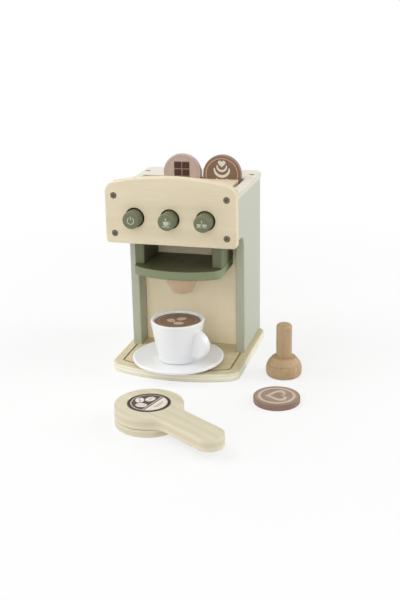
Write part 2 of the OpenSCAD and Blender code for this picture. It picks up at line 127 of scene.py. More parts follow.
# Stage: places and sizes in metres, power in watts
FLOOR_TONE = (0.88, 0.88, 0.875)
LAMP_AIM = (0.0, -0.05, 0.12)
SOFTBOXES = {
    "Left Overhead": ((-0.9, -0.3, 1.5), (1.0, 1.0), 11.0),
    "Right Overhead": ((1.1, -0.2, 1.5), (1.0, 1.0), 4.5),
    "High Front": ((0.1, -1.8, 1.4), (1.4, 1.4), 10.7),
    "Low Front": ((0.0, -2.0, 0.5), (1.4, 1.0), 6.4),
    "Left": ((-1.8, -0.6, 0.7), (1.2, 1.2), 8.4),
    "Right": ((2.2, 0.0, 0.5), (1.2, 0.9), 4.9),
    "Rear Right": ((1.6, 0.55, 0.8), (1.2, 1.2), 15.0),
    "Rear Left": ((-0.7, 0.9, 1.5), (1.0, 1.0), 7.3),
}
CAMERA_PLACE = (0.34105, -1.16158, 0.49107)
CAMERA_ANGLES = (0.273372, 0.330947, -0.0187568)  # Turn, dip and roll, in radians
FOCAL_LENGTH = 59.80  # In millimetres, on a 36 mm sensor


def linear(r, g, b):
    """Scene colour of a 0 to 255 display colour."""
    return tuple(c / 12.92 if c <= 0.04045 else ((c + 0.055) / 1.055) ** 2.4
                 for c in (r / 255, g / 255, b / 255))


# ---------------------------------------------------------------- settings


def length(name, description, default, low, high):
    return FloatProperty(name=name, description=description, default=default, min=low, max=high,
                         unit="LENGTH", subtype="DISTANCE", precision=4)


def colour(name, description, *rgb):
    return FloatVectorProperty(name=name, description=description, default=linear(*rgb), size=3,
                               min=0.0, max=1.0, subtype="COLOR")


class CoffeeMakerSizes(bpy.types.PropertyGroup):
    """Sizes that the finish adds to the CAD pieces."""

    board_round: length("Board Rounding", "Edge radius of the clear-coated boards", 0.0022, 0.0005, 0.004)
    panel_round: length("Panel Rounding", "Edge radius of the painted side panels", 0.0018, 0.0005, 0.004)
    holder_round: length("Holder Rounding", "Edge radius of the portafilter holder", 0.0018, 0.0005, 0.004)
    filter_round: length("Portafilter Rounding", "Edge radius of the portafilter", 0.0016, 0.0005, 0.004)
    hole_round: length("Hole Rounding", "Edge radius of holes and openings", 0.0007, 0.0002, 0.002)
    print_height: length("Print Height", "How far printed ink stands on its face", 0.00006, 0.00002, 0.0003)
    round_steps: IntProperty(name="Round Steps", description="Faces around a turned piece", default=128,
                             min=48, max=256)


class CoffeeMakerColours(bpy.types.PropertyGroup):
    """Colours of the woods, paints and inks."""

    birch_light: colour("Birch Light", "Pale wood of the birch boards", 233, 221, 194)
    birch_dark: colour("Birch Dark", "Darker grain of the birch boards", 214, 197, 163)
    base_light: colour("Base Light", "Light grain on the base board", 219, 209, 174)
    base_dark: colour("Base Dark", "Dark grain on the base board", 201, 186, 146)
    # Partly painted light: the bare edge of the base is paler ply, and is drawn whiter still for glare from
    # the floor
    base_rim_and_glare: colour("Base Rim And Glare", "Bare edge of the base board", 245, 241, 220)
    # Painted light: a paler olive on the holder plate's edge, where it faces out of the cavity
    olive_edge_painted_light: colour("Olive Painted Light", "Paint on the holder plate's edge", 131, 139, 106)
    # Painted shade: a darker olive on the holder plate's top and on the cheeks' inner faces, where the cavity
    # is in shadow
    olive_painted_shade: colour("Olive Painted Shade", "Paint inside the holder", 86, 89, 64)
    # Painted shade: the walls of the button holes are drawn dark for the shadow in the gap around each button
    bore: colour("Bore Shade", "Dark walls of the holes in the front board", 58, 51, 38)
    button: colour("Button Paint", "Paint on the buttons' faces", 103, 109, 76)
    # Painted shade: a darker olive on the sides of the buttons, where they sit in their holes
    button_side: colour("Button Side Paint", "Paint around the buttons", 92, 97, 70)
    # Painted light: a paler, greyer sage on the broad faces of the side panels, both sides, for the light and
    # sheen on them
    sage_painted_light: colour("Sage Painted Light", "Paint on the outer faces of the side panels", 185, 188, 171)
    # Painted light: the bay's back board uses a lighter copy of the birch, for the light that fills the bay
    bay_light: colour("Bay Light", "Pale wood of the bay's back board", 252, 243, 214)
    bay_dark: colour("Bay Dark", "Darker grain of the bay's back board", 250, 231, 198)
    top_light: colour("Top Light", "Pale wood of the top panel", 224, 220, 207)
    top_dark: colour("Top Dark", "Darker grain of the top panel", 206, 195, 175)
    filter_light: colour("Portafilter Light", "Pale wood of the portafilter", 221, 215, 192)
    filter_dark: colour("Portafilter Dark", "Darker grain of the portafilter", 199, 188, 155)
    filter_rim: colour("Portafilter Rim", "Bare edges of the portafilter", 223, 214, 189)
    wash: colour("Brown Wash", "Thin wash on the face of the heart disc", 160, 137, 119)
    blush: colour("Blush Ink", "Ring and heart on the heart disc", 203, 184, 170)
    tan: colour("Tan Ink", "Beans on the cup disc and the thin ring on the bean disc", 204, 184, 166)
    roast: colour("Roast Ink", "Ground behind the beans on the bean disc", 76, 60, 53)
    sign: colour("Sign Ink", "Signs on the buttons", 186, 191, 176)
    ply_line: colour("Ply Line", "Crossed layers in the edges of the boards", 186, 164, 128)
    # Painted shade: the groove's wood is drawn darker than the base for the shade in the routed recess
    groove_light: colour("Groove Light", "Lighter wood in the routed groove", 172, 156, 118)
    groove_dark: colour("Groove Dark", "Darker wood in the routed groove", 150, 132, 96)
    sage: colour("Sage Paint", "Paint of the side panels", 181, 184, 163)
    olive: colour("Olive Paint", "Paint of the holder", 109, 114, 86)
    white: colour("White Paint", "Paint of the cup and the saucer", 238, 239, 240)
    beech_light: colour("Beech Light", "Pale wood of the tamper", 195, 169, 131)
    beech_dark: colour("Beech Dark", "Darker grain of the tamper", 169, 139, 104)
    spout_light: colour("Spout Light", "Pale wood of the spout", 224, 199, 166)
    spout_dark: colour("Spout Dark", "Darker grain of the spout", 204, 176, 144)
    disc_light: colour("Disc Light", "Pale wood of the chocolate disc", 200, 180, 173)
    disc_dark: colour("Disc Dark", "Darker grain of the chocolate disc", 183, 161, 152)
    brown_light: colour("Brown Light", "Light grain of the stained discs", 149, 124, 107)
    brown_dark: colour("Brown Dark", "Dark grain of the stained discs", 130, 104, 86)
    coffee: colour("Coffee Ink", "Brown ground of the latte and cup prints", 128, 103, 82)
    toffee: colour("Toffee Ink", "Frame around the chocolate squares", 152, 116, 103)
    cocoa: colour("Cocoa Ink", "Dark ink of the chocolate squares", 64, 41, 35)
    black: colour("Black Ink", "Edge of the bean print and the screw over the spout", 36, 29, 24)
    cream: colour("Cream Ink", "Pale ink of the latte and bean prints", 228, 221, 213)
    copper: colour("Copper Ink", "Thin rings around the prints", 199, 160, 135)
    # Also drawn on the walls of the front screws' pits, as painted shade in the recess
    screw: colour("Screw Steel", "Dark coated screws", 118, 110, 90)
    spring: colour("Spring Steel", "Bare wire of the return springs", 188, 188, 190)


def setting(which):
    """One length of the settings, in millimetres."""
    return getattr(bpy.context.scene.coffee_sizes, which) * 1000.0


def shade(which):
    """One colour of the settings."""
    return tuple(getattr(bpy.context.scene.coffee_colours, which))


def box(cad):
    """Lowest and highest corner of a CAD node, in millimetres."""
    low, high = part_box(cad)
    return Vector(low) * 1000.0, Vector(high) * 1000.0


def middle(cad):
    """Middle of a CAD node's box, in millimetres."""
    return [(a + b) / 2 for a, b in zip(*box(cad))]


# ---------------------------------------------------------------- outlines


def arc(r, cx, cy, start, end, steps):
    """Points on a circle from one angle to another, in degrees."""
    turn = [math.radians(start + (end - start) * i / steps) for i in range(steps + 1)]
    return [Vector((cx + r * math.cos(a), cy + r * math.sin(a))) for a in turn]


def circle(r, steps, cx=0.0, cy=0.0):
    return arc(r, cx, cy, 0, 360, steps)[:-1]


def soften(points, closed=True, steps=5):
    """A line through (x, y, radius) points, with each corner rounded to its radius."""
    line = []
    count = len(points)
    for i, point in enumerate(points):
        x, y, r = (*point, 0.0)[:3]
        corner = Vector((x, y))
        if r <= 0 or (not closed and i in (0, count - 1)):
            line.append(corner)
            continue
        a = Vector(points[i - 1][:2]) - corner
        b = Vector(points[(i + 1) % count][:2]) - corner
        half = a.angle(b) / 2
        reach = min(r / math.tan(half), a.length * 0.49, b.length * 0.49)
        r = reach * math.tan(half)
        a.normalize()
        b.normalize()
        centre = corner + (a + b).normalized() * (r / math.sin(half))
        first = corner + a * reach - centre
        last = corner + b * reach - centre
        a0 = math.atan2(first.y, first.x)
        swing = (math.atan2(last.y, last.x) - a0 + math.pi) % (2 * math.pi) - math.pi
        line += [centre + Vector((math.cos(a0 + swing * k / steps), math.sin(a0 + swing * k / steps))) * r
                 for k in range(steps + 1)]
    return line


def rectangle(x0, y0, x1, y1, r, steps=5):
    return soften([(x0, y0, r), (x1, y0, r), (x1, y1, r), (x0, y1, r)], steps=steps)


def tidy(loop, positive=True):
    """The loop without doubled points, turned left for an outline or right for a hole."""
    kept = [p for i, p in enumerate(loop) if (p - loop[i - 1]).length > WELD]
    area = sum(kept[i - 1].x * p.y - p.x * kept[i - 1].y for i, p in enumerate(kept))
    return kept if (area > 0) == positive else kept[::-1]


def inset(loop, step):
    """The loop moved by step into the material on its left."""
    moved = []
    for i, p in enumerate(loop):
        a = (p - loop[i - 1]).normalized()
        b = (loop[(i + 1) % len(loop)] - p).normalized()
        na, nb = Vector((a.y, -a.x)), Vector((b.y, -b.x))
        moved.append(p - (na + nb) * (step / max(1 + na.dot(nb), 0.25)))
    return moved


def bowed(w, d, bow, front_r, rear_r=0.0, half_open=None):
    """A board outline with a bowed edge towards -y, or with half_open only the line ahead of that y."""
    big = (w * w / 4 + bow * bow) / (2 * bow)
    big_y = -d / 2 + big
    cx = w / 2 - front_r
    cy = big_y - math.sqrt((big - front_r) ** 2 - cx * cx)
    lean = math.degrees(math.atan2(cy - big_y, cx))
    front = (arc(front_r, -cx, cy, 180, 180 - lean, 12)
             + arc(big, 0, big_y, -180 - lean, lean, 40)
             + arc(front_r, cx, cy, lean, 0, 12))
    if half_open is not None:
        return [Vector((-w / 2, half_open))] + front + [Vector((w / 2, half_open))]
    return (front + arc(rear_r, w / 2 - rear_r, d / 2 - rear_r, 0, 90, 8)
            + arc(rear_r, -w / 2 + rear_r, d / 2 - rear_r, 90, 180, 8))


def stroke(points, widths, steps):
    """The outline of a line drawn with a round nib, with one width or one for each point."""
    if isinstance(widths, (int, float)):
        widths = [widths] * len(points)
    left, right = [], []
    for i, p in enumerate(points):
        way = (points[min(i + 1, len(points) - 1)] - points[max(i - 1, 0)]).normalized()
        side = Vector((-way.y, way.x)) * widths[i] / 2
        left.append(p + side)
        right.append(p - side)

    def nib(p, edge):
        start = math.degrees(math.atan2(edge.y - p.y, edge.x - p.x))
        return arc((edge - p).length, p.x, p.y, start, start - 180, steps)[1:-1]

    return left + nib(points[-1], left[-1]) + right[::-1] + nib(points[0], right[0])


# ---------------------------------------------------------------- forms

# Turns of a form: lying flat, or upright with its top to the front or to the right
FLAT = Matrix()
FRONT = Matrix.Rotation(math.radians(90), 4, "X")
SIDE = Matrix(((0, 0, 1, 0), (1, 0, 0, 0), (0, 1, 0, 0), (0, 0, 0, 1)))


def at(x, y, z, turn=FLAT):
    return Matrix.Translation((x, y, z)) @ turn


def foot(cad):
    """A place for a form at the middle of a CAD box's underside."""
    x, y, _ = middle(cad)
    return at(x, y, box(cad)[0].z)


class Form:
    """Collects the faces of one piece in its own millimetre frame."""

    def __init__(self, place=FLAT):
        self.bm = bmesh.new()
        self.place = place

    def ring(self, loop, height):
        return [self.bm.verts.new(self.place @ Vector((p.x, p.y, height))) for p in loop]

    def face(self, corners, index):
        self.bm.faces.new(corners).material_index = index

    def band(self, low, high, index):
        for i in range(len(low)):
            self.face([low[i - 1], low[i], high[i], high[i - 1]], index)

    def stack(self, loop, levels, index):
        """Bands through the loop inset by each level's step at its height; gives the rings."""
        rings = [self.ring(inset(loop, step), height) for step, height in levels]
        for low, high in zip(rings, rings[1:]):
            self.band(low, high, index)
        return rings

    def cap(self, rings, index):
        flat = [v for ring in rings for v in ring]
        for tri in tessellate_polygon([[v.co for v in ring] for ring in rings]):
            corners = [flat[i] for i in tri]
            if len(set(corners)) == 3 and not self.bm.faces.get(corners):
                self.face(corners, index)

    def slab(self, outline, low, high, r=0.0, holes=(), dents=(), low_dents=(), hole_r=0.0, steps=5,
             index=0, hole_index=None, dent_index=0):
        """A board between two heights: rounded edges, holes through it and (loop, depth) dents."""
        wall_index = index if hole_index is None else hole_index
        walls = [(tidy(outline), r, index)] + [(tidy(hole, False), hole_r, wall_index) for hole in holes]
        tops, lows = [], []
        for loop, edge, wall in walls:
            levels = [(0.0, low), (0.0, high)]
            if edge > 0:
                turn = [math.radians(90 * k / steps) for k in range(steps + 1)]
                levels = ([(edge * (1 - math.sin(a)), low + edge * (1 - math.cos(a))) for a in turn]
                          + [(edge * (1 - math.cos(a)), high - edge * (1 - math.sin(a))) for a in turn])
            rings = self.stack(loop, levels, wall)
            lows.append(rings[0])
            tops.append(rings[-1])
        for group, surface, way, rims in ((dents, high, -1, tops), (low_dents, low, 1, lows)):
            for loop, depth in group:
                lip = min(DENT_LIP, depth / 3)
                levels = [(step, surface + way * drop)
                          for step, drop in ((lip, 0.0), (lip * 0.3, lip * 0.3), (0.0, lip), (0.0, depth))]
                rings = self.stack(tidy(loop, False), levels, dent_index)
                self.cap([rings[-1]], dent_index)
                rims.append(rings[0])
        self.cap(tops, index)
        self.cap(lows, index)
        return self

    def turned(self, profile):
        """A round piece about the local z axis from (radius, height) points."""
        steps = bpy.context.scene.coffee_sizes.round_steps
        profile = [p for i, p in enumerate(profile)
                   if i == 0 or (Vector(p[:2]) - Vector(profile[i - 1][:2])).length > WELD]
        before = None
        for r, height in (p[:2] for p in profile):
            if r < WELD:
                row = [self.bm.verts.new(self.place @ Vector((0, 0, height)))]
            else:
                row = self.ring(circle(r, steps), height)
            if before and len(before) == len(row):
                self.band(before, row, 0)
            elif before:
                tip, rim = (before[0], row) if len(before) == 1 else (row[0], before)
                for i in range(steps):
                    self.face([tip, rim[i - 1], rim[i]], 0)
            before = row
        return self

    def piece(self, name, body, materials, slot, replaces=(), sharp=38.0):
        """Makes the object, smooths it, and hands it to the frame."""
        bmesh.ops.remove_doubles(self.bm, verts=self.bm.verts, dist=WELD)
        bmesh.ops.recalc_face_normals(self.bm, faces=self.bm.faces)
        for v in self.bm.verts:
            v.co *= 0.001
        mesh = bpy.data.meshes.new(name)
        self.bm.to_mesh(mesh)
        self.bm.free()
        for material in materials:
            mesh.materials.append(material)
        return hand_over(name, mesh, body, replaces, sharp)


def hand_over(name, mesh, body, replaces, sharp=38.0):
    """Shades a plain mesh with face-weighted normals, ties it to its body and hides the CAD nodes it
    replaces.
    """
    bm = bmesh.new()
    bm.from_mesh(mesh)
    for face in bm.faces:
        face.smooth = True
    for edge in bm.edges:
        edge.smooth = len(edge.link_faces) == 2 and edge.calc_face_angle(0.0) < math.radians(sharp)
    bm.to_mesh(mesh)
    bm.free()
    obj = bpy.data.objects.new(name, mesh)
    bpy.context.scene.collection.objects.link(obj)
    weighted = obj.modifiers.new("Weighted Normals", "WEIGHTED_NORMAL")
    weighted.keep_sharp = True
    made = bpy.data.meshes.new_from_object(obj.evaluated_get(bpy.context.evaluated_depsgraph_get()))
    obj.modifiers.clear()
    obj.data = made
    made.name = name
    bpy.data.meshes.remove(mesh)
    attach(obj, body)
    if replaces:
        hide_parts(*replaces)
    return obj


# ---------------------------------------------------------------- shader helpers


def node(tree, kind, inputs=None, **settings):
    """A node with its settings, and inputs that are values or sockets to link."""
    made = tree.nodes.new(kind)
    for key, value in settings.items():
        setattr(made, key, value)
    for key, value in (inputs or {}).items():
        if isinstance(value, bpy.types.NodeSocket):
            tree.links.new(value, made.inputs[key])
        else:
            made.inputs[key].default_value = value
    return made


def maths(tree, operation, a, b=0.0, clamp=False):
    return node(tree, "ShaderNodeMath", {0: a, 1: b}, operation=operation, use_clamp=clamp).outputs[0]


def noise(tree, vector, scale, detail=2.0, rough=0.5, twist=0.0):
    return node(tree, "ShaderNodeTexNoise", {"Vector": vector, "Scale": scale, "Detail": detail,
                                             "Roughness": rough, "Distortion": twist}).outputs["Fac"]


def blend(tree, factor, a, b, mode="MIX"):
    made = node(tree, "ShaderNodeMix", {0: factor, 6: a, 7: b}, data_type="RGBA", blend_type=mode)
    return made.outputs[2]


def spread(tree, value, a0, a1, b0=0.0, b1=1.0):
    return node(tree, "ShaderNodeMapRange", {0: value, 1: a0, 2: a1, 3: b0, 4: b1}, clamp=True).outputs[0]


def new_tree(name, kind, inputs, outputs):
    """A new node tree from (name, kind, default) inputs, its input sockets and its output sockets."""
    made = bpy.data.node_groups.new(name, kind)
    for title, socket_kind, *default in inputs:
        socket = made.interface.new_socket(name=title, in_out="INPUT", socket_type=socket_kind)
        if default:
            socket.default_value = default[0]
    for title, socket_kind in outputs:
        made.interface.new_socket(name=title, in_out="OUTPUT", socket_type=socket_kind)
    return made, made.nodes.new("NodeGroupInput").outputs, made.nodes.new("NodeGroupOutput").inputs


def shared_tree(name, maker):
    """A node tree that is made once and then shared."""
    return bpy.data.node_groups.get(name) or maker(name)


def wood_grain_tree(name):
    """Long fibres, broad figure and fine pores, with the grain along the position's x axis."""
    g, ins, outs = new_tree(name, "ShaderNodeTree", (
        ("Position", "NodeSocketVector"), ("Light", "NodeSocketColor", (0.8, 0.7, 0.5, 1)),
        ("Dark", "NodeSocketColor", (0.6, 0.5, 0.3, 1)), ("Figure", "NodeSocketFloat", 0.5),
        ("Fibre", "NodeSocketFloat", 0.5)), (
        ("Colour", "NodeSocketColor"), ("Grain", "NodeSocketFloat")))

    def stretched(along, across, *settings):
        place = node(g, "ShaderNodeMapping", {"Vector": ins["Position"], "Scale": (along, across, across)})
        return noise(g, place.outputs[0], 1.0, *settings)

    broad = spread(g, stretched(5.0, 62.0, 3.0, 0.5, 0.8), 0.32, 0.68)
    fibres = spread(g, stretched(26.0, 620.0, 3.0, 0.6), 0.30, 0.72)
    pores = spread(g, stretched(120.0, 2400.0, 1.0), 0.60, 0.78)
    wavy = node(g, "ShaderNodeMapping", {"Vector": ins["Position"], "Scale": (0.16, 1.0, 1.0)})
    rings = node(g, "ShaderNodeTexWave", {"Vector": wavy.outputs[0], "Scale": 19.0, "Distortion": 5.0,
                                          "Detail": 2.0, "Detail Scale": 1.4, "Detail Roughness": 0.55},
                 wave_type="BANDS", bands_direction="Y", wave_profile="SIN").outputs["Fac"]
    figure = maths(g, "ADD", maths(g, "MULTIPLY", broad, 0.62), maths(g, "MULTIPLY", rings, 0.38))
    strength = maths(g, "ADD", maths(g, "MULTIPLY", figure, ins["Figure"]),
                     maths(g, "MULTIPLY", fibres, ins["Fibre"]), clamp=True)
    tone = blend(g, strength, ins["Light"], ins["Dark"])
    flecked = blend(g, maths(g, "MULTIPLY", pores, 0.16), tone, ins["Dark"], "MULTIPLY")
    g.links.new(flecked, outs["Colour"])
    g.links.new(maths(g, "SUBTRACT", maths(g, "MULTIPLY", fibres, 0.6), maths(g, "MULTIPLY", pores, 0.4)),
                outs["Grain"])
    return g


def ply_edge_tree(name):
    """Crossed layers and glue lines in the edge of a board, by the depth below its face."""
    g, ins, outs = new_tree(name, "ShaderNodeTree", (
        ("Depth", "NodeSocketFloat", 0.0), ("Position", "NodeSocketVector"),
        ("Thickness", "NodeSocketFloat", 0.012), ("Layers", "NodeSocketFloat", 5.0),
        ("Edge", "NodeSocketFloat", 0.0)), (
        ("Crossed", "NodeSocketFloat"), ("Glue", "NodeSocketFloat")))
    wobble = maths(g, "MULTIPLY", maths(g, "SUBTRACT", noise(g, ins["Position"], 45.0), 0.5), 0.022)
    depth = maths(g, "ADD", maths(g, "DIVIDE", ins["Depth"], ins["Thickness"]), wobble)
    wave = maths(g, "SINE", maths(g, "MULTIPLY", maths(g, "MULTIPLY", depth, ins["Layers"]), math.pi))
    speckle = spread(g, noise(g, ins["Position"], 900.0, 1.0), 0.3, 0.7, 0.65, 1.0)
    crossed = maths(g, "MULTIPLY", spread(g, wave, -0.25, 0.0, 1.0, 0.0), speckle)
    glue = spread(g, maths(g, "ABSOLUTE", wave), 0.0, 0.16, 1.0, 0.0)
    g.links.new(maths(g, "MULTIPLY", crossed, ins["Edge"]), outs["Crossed"])
    g.links.new(maths(g, "MULTIPLY", glue, ins["Edge"]), outs["Glue"])
    return g


def paint_coat_tree(name):
    """Sprayed paint: slow shifts of tone, fine stipple and the wood showing faintly through."""
    g, ins, outs = new_tree(name, "ShaderNodeTree", (
        ("Position", "NodeSocketVector"), ("Colour", "NodeSocketColor", (0.5, 0.5, 0.5, 1)),
        ("Variation", "NodeSocketFloat", 0.05), ("Fibre", "NodeSocketFloat", 0.3)), (
        ("Colour", "NodeSocketColor"), ("Tone", "NodeSocketFloat"), ("Stipple", "NodeSocketFloat")))
    slow = noise(g, ins["Position"], 22.0, 4.0, 0.55)
    fine = noise(g, ins["Position"], 1500.0)
    along = node(g, "ShaderNodeMapping", {"Vector": ins["Position"], "Scale": (24.0, 420.0, 420.0)})
    fibre = noise(g, along.outputs[0], 1.0, 3.0)
    tone = maths(g, "ADD", spread(g, slow, 0.3, 0.7, -1.0, 1.0),
                 maths(g, "MULTIPLY", spread(g, fibre, 0.3, 0.7, -1.0, 1.0), ins["Fibre"]))
    gain = maths(g, "ADD", 1.0, maths(g, "MULTIPLY", tone, ins["Variation"]))
    varied = node(g, "ShaderNodeVectorMath", {0: ins["Colour"], "Scale": gain}, operation="SCALE")
    g.links.new(varied.outputs[0], outs["Colour"])
    g.links.new(maths(g, "MULTIPLY", maths(g, "ADD", tone, 1.0), 0.5, clamp=True), outs["Tone"])
    g.links.new(maths(g, "ADD", maths(g, "MULTIPLY", fine, 0.5), maths(g, "MULTIPLY", fibre, ins["Fibre"])),
                outs["Stipple"])
    return g


def start_material(name, roughness, specular=0.5, coat=0.0, coat_rough=0.3):
    made = bpy.data.materials.new(name)
    made.use_nodes = True
    tree = made.node_tree
    shader = tree.nodes["Principled BSDF"]
    shader.inputs["Roughness"].default_value = roughness
    shader.inputs["Specular IOR Level"].default_value = specular
    shader.inputs["Coat Weight"].default_value = coat
    shader.inputs["Coat Roughness"].default_value = coat_rough
    return made, tree, shader


def position(tree, turn=(0.0, 0.0, 0.0), shift=(0.0, 0.0, 0.0)):
    where = node(tree, "ShaderNodeTexCoord")
    return node(tree, "ShaderNodeMapping", {"Vector": where.outputs["Object"], "Rotation": turn,
                                            "Location": shift}).outputs[0]


def relief(tree, shader, height, strength, distance=0.0002):
    bump = node(tree, "ShaderNodeBump", {"Height": height, "Strength": strength, "Distance": distance})
    tree.links.new(bump.outputs[0], shader.inputs["Normal"])


# Turns that bring the grain of a board along x, y or z onto the pattern's x axis
GRAIN = {"x": (0.0, 0.0, 0.0), "y": (0.0, 0.0, math.radians(-90)), "z": (0.0, math.radians(90), 0.0)}


def board_finish(name, light, dark, grain="x", axis=None, low=0.0, thickness=0.012, layers=5, shift=0.0,
                 figure=0.55, fibre=0.35, turn=None, roughness=0.5, ply=1.0, rim=None):
    """Clear-coated wood with its grain, and where an axis is given, plywood layers in the edges across it."""
    made, tree, shader = start_material(name, roughness, 0.4, 0.12, 0.35)
    place = position(tree, turn or GRAIN[grain], (shift, shift * 0.7, shift * 1.3))
    grained = node(tree, "ShaderNodeGroup", {
        "Position": place, "Light": (*light, 1), "Dark": (*dark, 1), "Figure": figure, "Fibre": fibre},
        node_tree=shared_tree("Wood Grain", wood_grain_tree)).outputs
    tone, height = grained["Colour"], grained["Grain"]
    if axis is not None:
        where = node(tree, "ShaderNodeTexCoord").outputs
        spot = node(tree, "ShaderNodeSeparateXYZ", {0: where["Object"]})
        facing = node(tree, "ShaderNodeSeparateXYZ", {0: where["Normal"]})
        edge = spread(tree, maths(tree, "ABSOLUTE", facing.outputs[axis]), 0.25, 0.75, 1.0, 0.0)
        seen = node(tree, "ShaderNodeGroup", {
            "Depth": maths(tree, "SUBTRACT", spot.outputs[axis], low), "Position": where["Object"],
            "Edge": edge, "Thickness": thickness, "Layers": layers},
            node_tree=shared_tree("Ply Edge", ply_edge_tree)).outputs
        line = (*shade("ply_line"), 1)
        if rim is not None:
            tone = blend(tree, edge, tone, (*rim, 1))
        tone = blend(tree, maths(tree, "MULTIPLY", seen["Crossed"], 0.42 * ply), tone, line)
        tone = blend(tree, maths(tree, "MULTIPLY", seen["Glue"], 0.35 * ply), tone, line)
        height = maths(tree, "SUBTRACT", height, maths(tree, "MULTIPLY", seen["Crossed"], 0.4))
    tree.links.new(tone, shader.inputs["Base Color"])
    tree.links.new(spread(tree, grained["Grain"], -0.3, 0.6, roughness - 0.06, roughness + 0.10),
                   shader.inputs["Roughness"])
    relief(tree, shader, height, 0.16)
    return made


def paint_finish(name, rgb, roughness=0.5, variation=0.03, fibre=0.3, bump=0.10, coat=0.0, grain="z",
                 specular=0.4, facets=()):
    """Matt paint with faint grain under it; facets are (direction, colour) pairs for the faces turned that
    way, used here for painted light and painted shade.
    """
    made, tree, shader = start_material(name, roughness, specular, coat, 0.2)
    paint = (*rgb, 1)
    for direction, other in facets:
        normal = node(tree, "ShaderNodeTexCoord").outputs["Normal"]
        turned = node(tree, "ShaderNodeVectorMath", {0: normal, 1: direction}, operation="DOT_PRODUCT")
        paint = blend(tree, spread(tree, turned.outputs["Value"], 0.4, 0.8), paint, (*other, 1))
    seen = node(tree, "ShaderNodeGroup", {
        "Position": position(tree, GRAIN[grain]), "Colour": paint, "Variation": variation, "Fibre": fibre},
        node_tree=shared_tree("Paint Coat", paint_coat_tree)).outputs
    tree.links.new(seen["Colour"], shader.inputs["Base Color"])
    tree.links.new(spread(tree, seen["Tone"], 0.0, 1.0, roughness - 0.05, roughness + 0.07),
                   shader.inputs["Roughness"])
    relief(tree, shader, seen["Stipple"], bump, 0.00012)
    return made


def metal_finish(name, rgb, roughness, metallic):
    """Coated or bare steel with fine turning marks."""
    made, tree, shader = start_material(name, roughness)
    marks = noise(tree, position(tree), 1400.0, 3.0)
    tone = blend(tree, spread(tree, marks, 0.3, 0.7), (*[c * 0.8 for c in rgb], 1), (*rgb, 1))
    tree.links.new(tone, shader.inputs["Base Color"])
    tree.links.new(spread(tree, marks, 0.3, 0.7, roughness - 0.08, roughness + 0.1),
                   shader.inputs["Roughness"])
    shader.inputs["Metallic"].default_value = metallic
    relief(tree, shader, marks, 0.08)
    return made


def finish(name, maker, *args, **options):
    """A material that is made once and then shared."""
    return bpy.data.materials.get(name) or maker(name, *args, **options)


def wood(name, tone, **options):
    """Wood in the light and the dark of one tone of the settings."""
    return finish(name, board_finish, shade(tone + "_light"), shade(tone + "_dark"), **options)


def plywood(name, tone, cad, axis, **options):
    """Wood with plywood layers along one axis of a CAD node's box."""
    low, high = box(cad)
    return wood(name, tone, axis=axis, low=low[axis] / 1000, thickness=(high - low)[axis] / 1000, **options)


def ink(which):
    return finish("Ink " + which.title(), paint_finish, shade(which), 0.55, 0.05, 0.9, 0.12, grain="x")


# ---------------------------------------------------------------- geometry trees


def placed(g, ins, shape, turn):
    """A shape on each of a tree's points, as real faces in the tree's material."""
    copies = node(g, "GeometryNodeInstanceOnPoints", {"Points": ins["Points"], "Instance": shape,
                                                      "Rotation": turn})
    real = node(g, "GeometryNodeRealizeInstances", {"Geometry": copies.outputs[0]})
    return node(g, "GeometryNodeSetMaterial", {"Geometry": real.outputs[0],
                                               "Material": ins["Material"]}).outputs[0]


def wood_screw_tree(name):
    """Countersunk screws with a cross recess, one on each point, aimed by the point's aim."""
    g, ins, outs = new_tree(name, "GeometryNodeTree", (
        ("Points", "NodeSocketGeometry"), ("Head Diameter", "NodeSocketFloat", 0.007),
        ("Shank Diameter", "NodeSocketFloat", 0.0036), ("Length", "NodeSocketFloat", 0.03),
        ("Recess Width", "NodeSocketFloat", 0.0032), ("Material", "NodeSocketMaterial")), (
        ("Geometry", "NodeSocketGeometry"),))
    head = maths(g, "MULTIPLY", ins["Head Diameter"], 0.5)
    shank = maths(g, "MULTIPLY", ins["Shank Diameter"], 0.5)
    depth = maths(g, "SUBTRACT", head, shank)

    def moved(mesh, z):
        shift = node(g, "ShaderNodeCombineXYZ", {"Z": z}).outputs[0]
        return node(g, "GeometryNodeTransform", {"Geometry": mesh, "Translation": shift}).outputs[0]

    cone = node(g, "GeometryNodeMeshCone", {"Vertices": 32, "Radius Top": head, "Radius Bottom": shank,
                                            "Depth": depth})
    cone = moved(cone.outputs["Mesh"], maths(g, "MULTIPLY", depth, -1.0))
    long = maths(g, "SUBTRACT", ins["Length"], depth)
    rod = node(g, "GeometryNodeMeshCylinder", {"Vertices": 16, "Radius": shank, "Depth": long})
    rod = moved(rod.outputs["Mesh"], maths(g, "SUBTRACT", maths(g, "MULTIPLY", long, -0.5), depth))
    bars = node(g, "GeometryNodeJoinGeometry")
    wide = ins["Recess Width"]
    thin = maths(g, "MULTIPLY", wide, 0.26)
    for x, y in ((wide, thin), (thin, wide)):
        extent = node(g, "ShaderNodeCombineXYZ", {"X": x, "Y": y, "Z": maths(g, "MULTIPLY", depth, 0.5)})
        bar = node(g, "GeometryNodeMeshCube", {"Size": extent.outputs[0]})
        g.links.new(bar.outputs["Mesh"], bars.inputs[0])
    cut = node(g, "GeometryNodeMeshBoolean", {"Mesh 1": cone, "Mesh 2": bars.outputs[0]},
               operation="DIFFERENCE")
    whole = node(g, "GeometryNodeJoinGeometry")
    g.links.new(cut.outputs["Mesh"], whole.inputs[0])
    g.links.new(rod, whole.inputs[0])
    aim = node(g, "GeometryNodeInputNamedAttribute", {"Name": "aim"}, data_type="FLOAT_VECTOR")
    turn = node(g, "FunctionNodeAlignRotationToVector", {"Vector": aim.outputs[0]}, axis="Z")
    g.links.new(placed(g, ins, whole.outputs[0], turn.outputs[0]), outs[0])
    return g


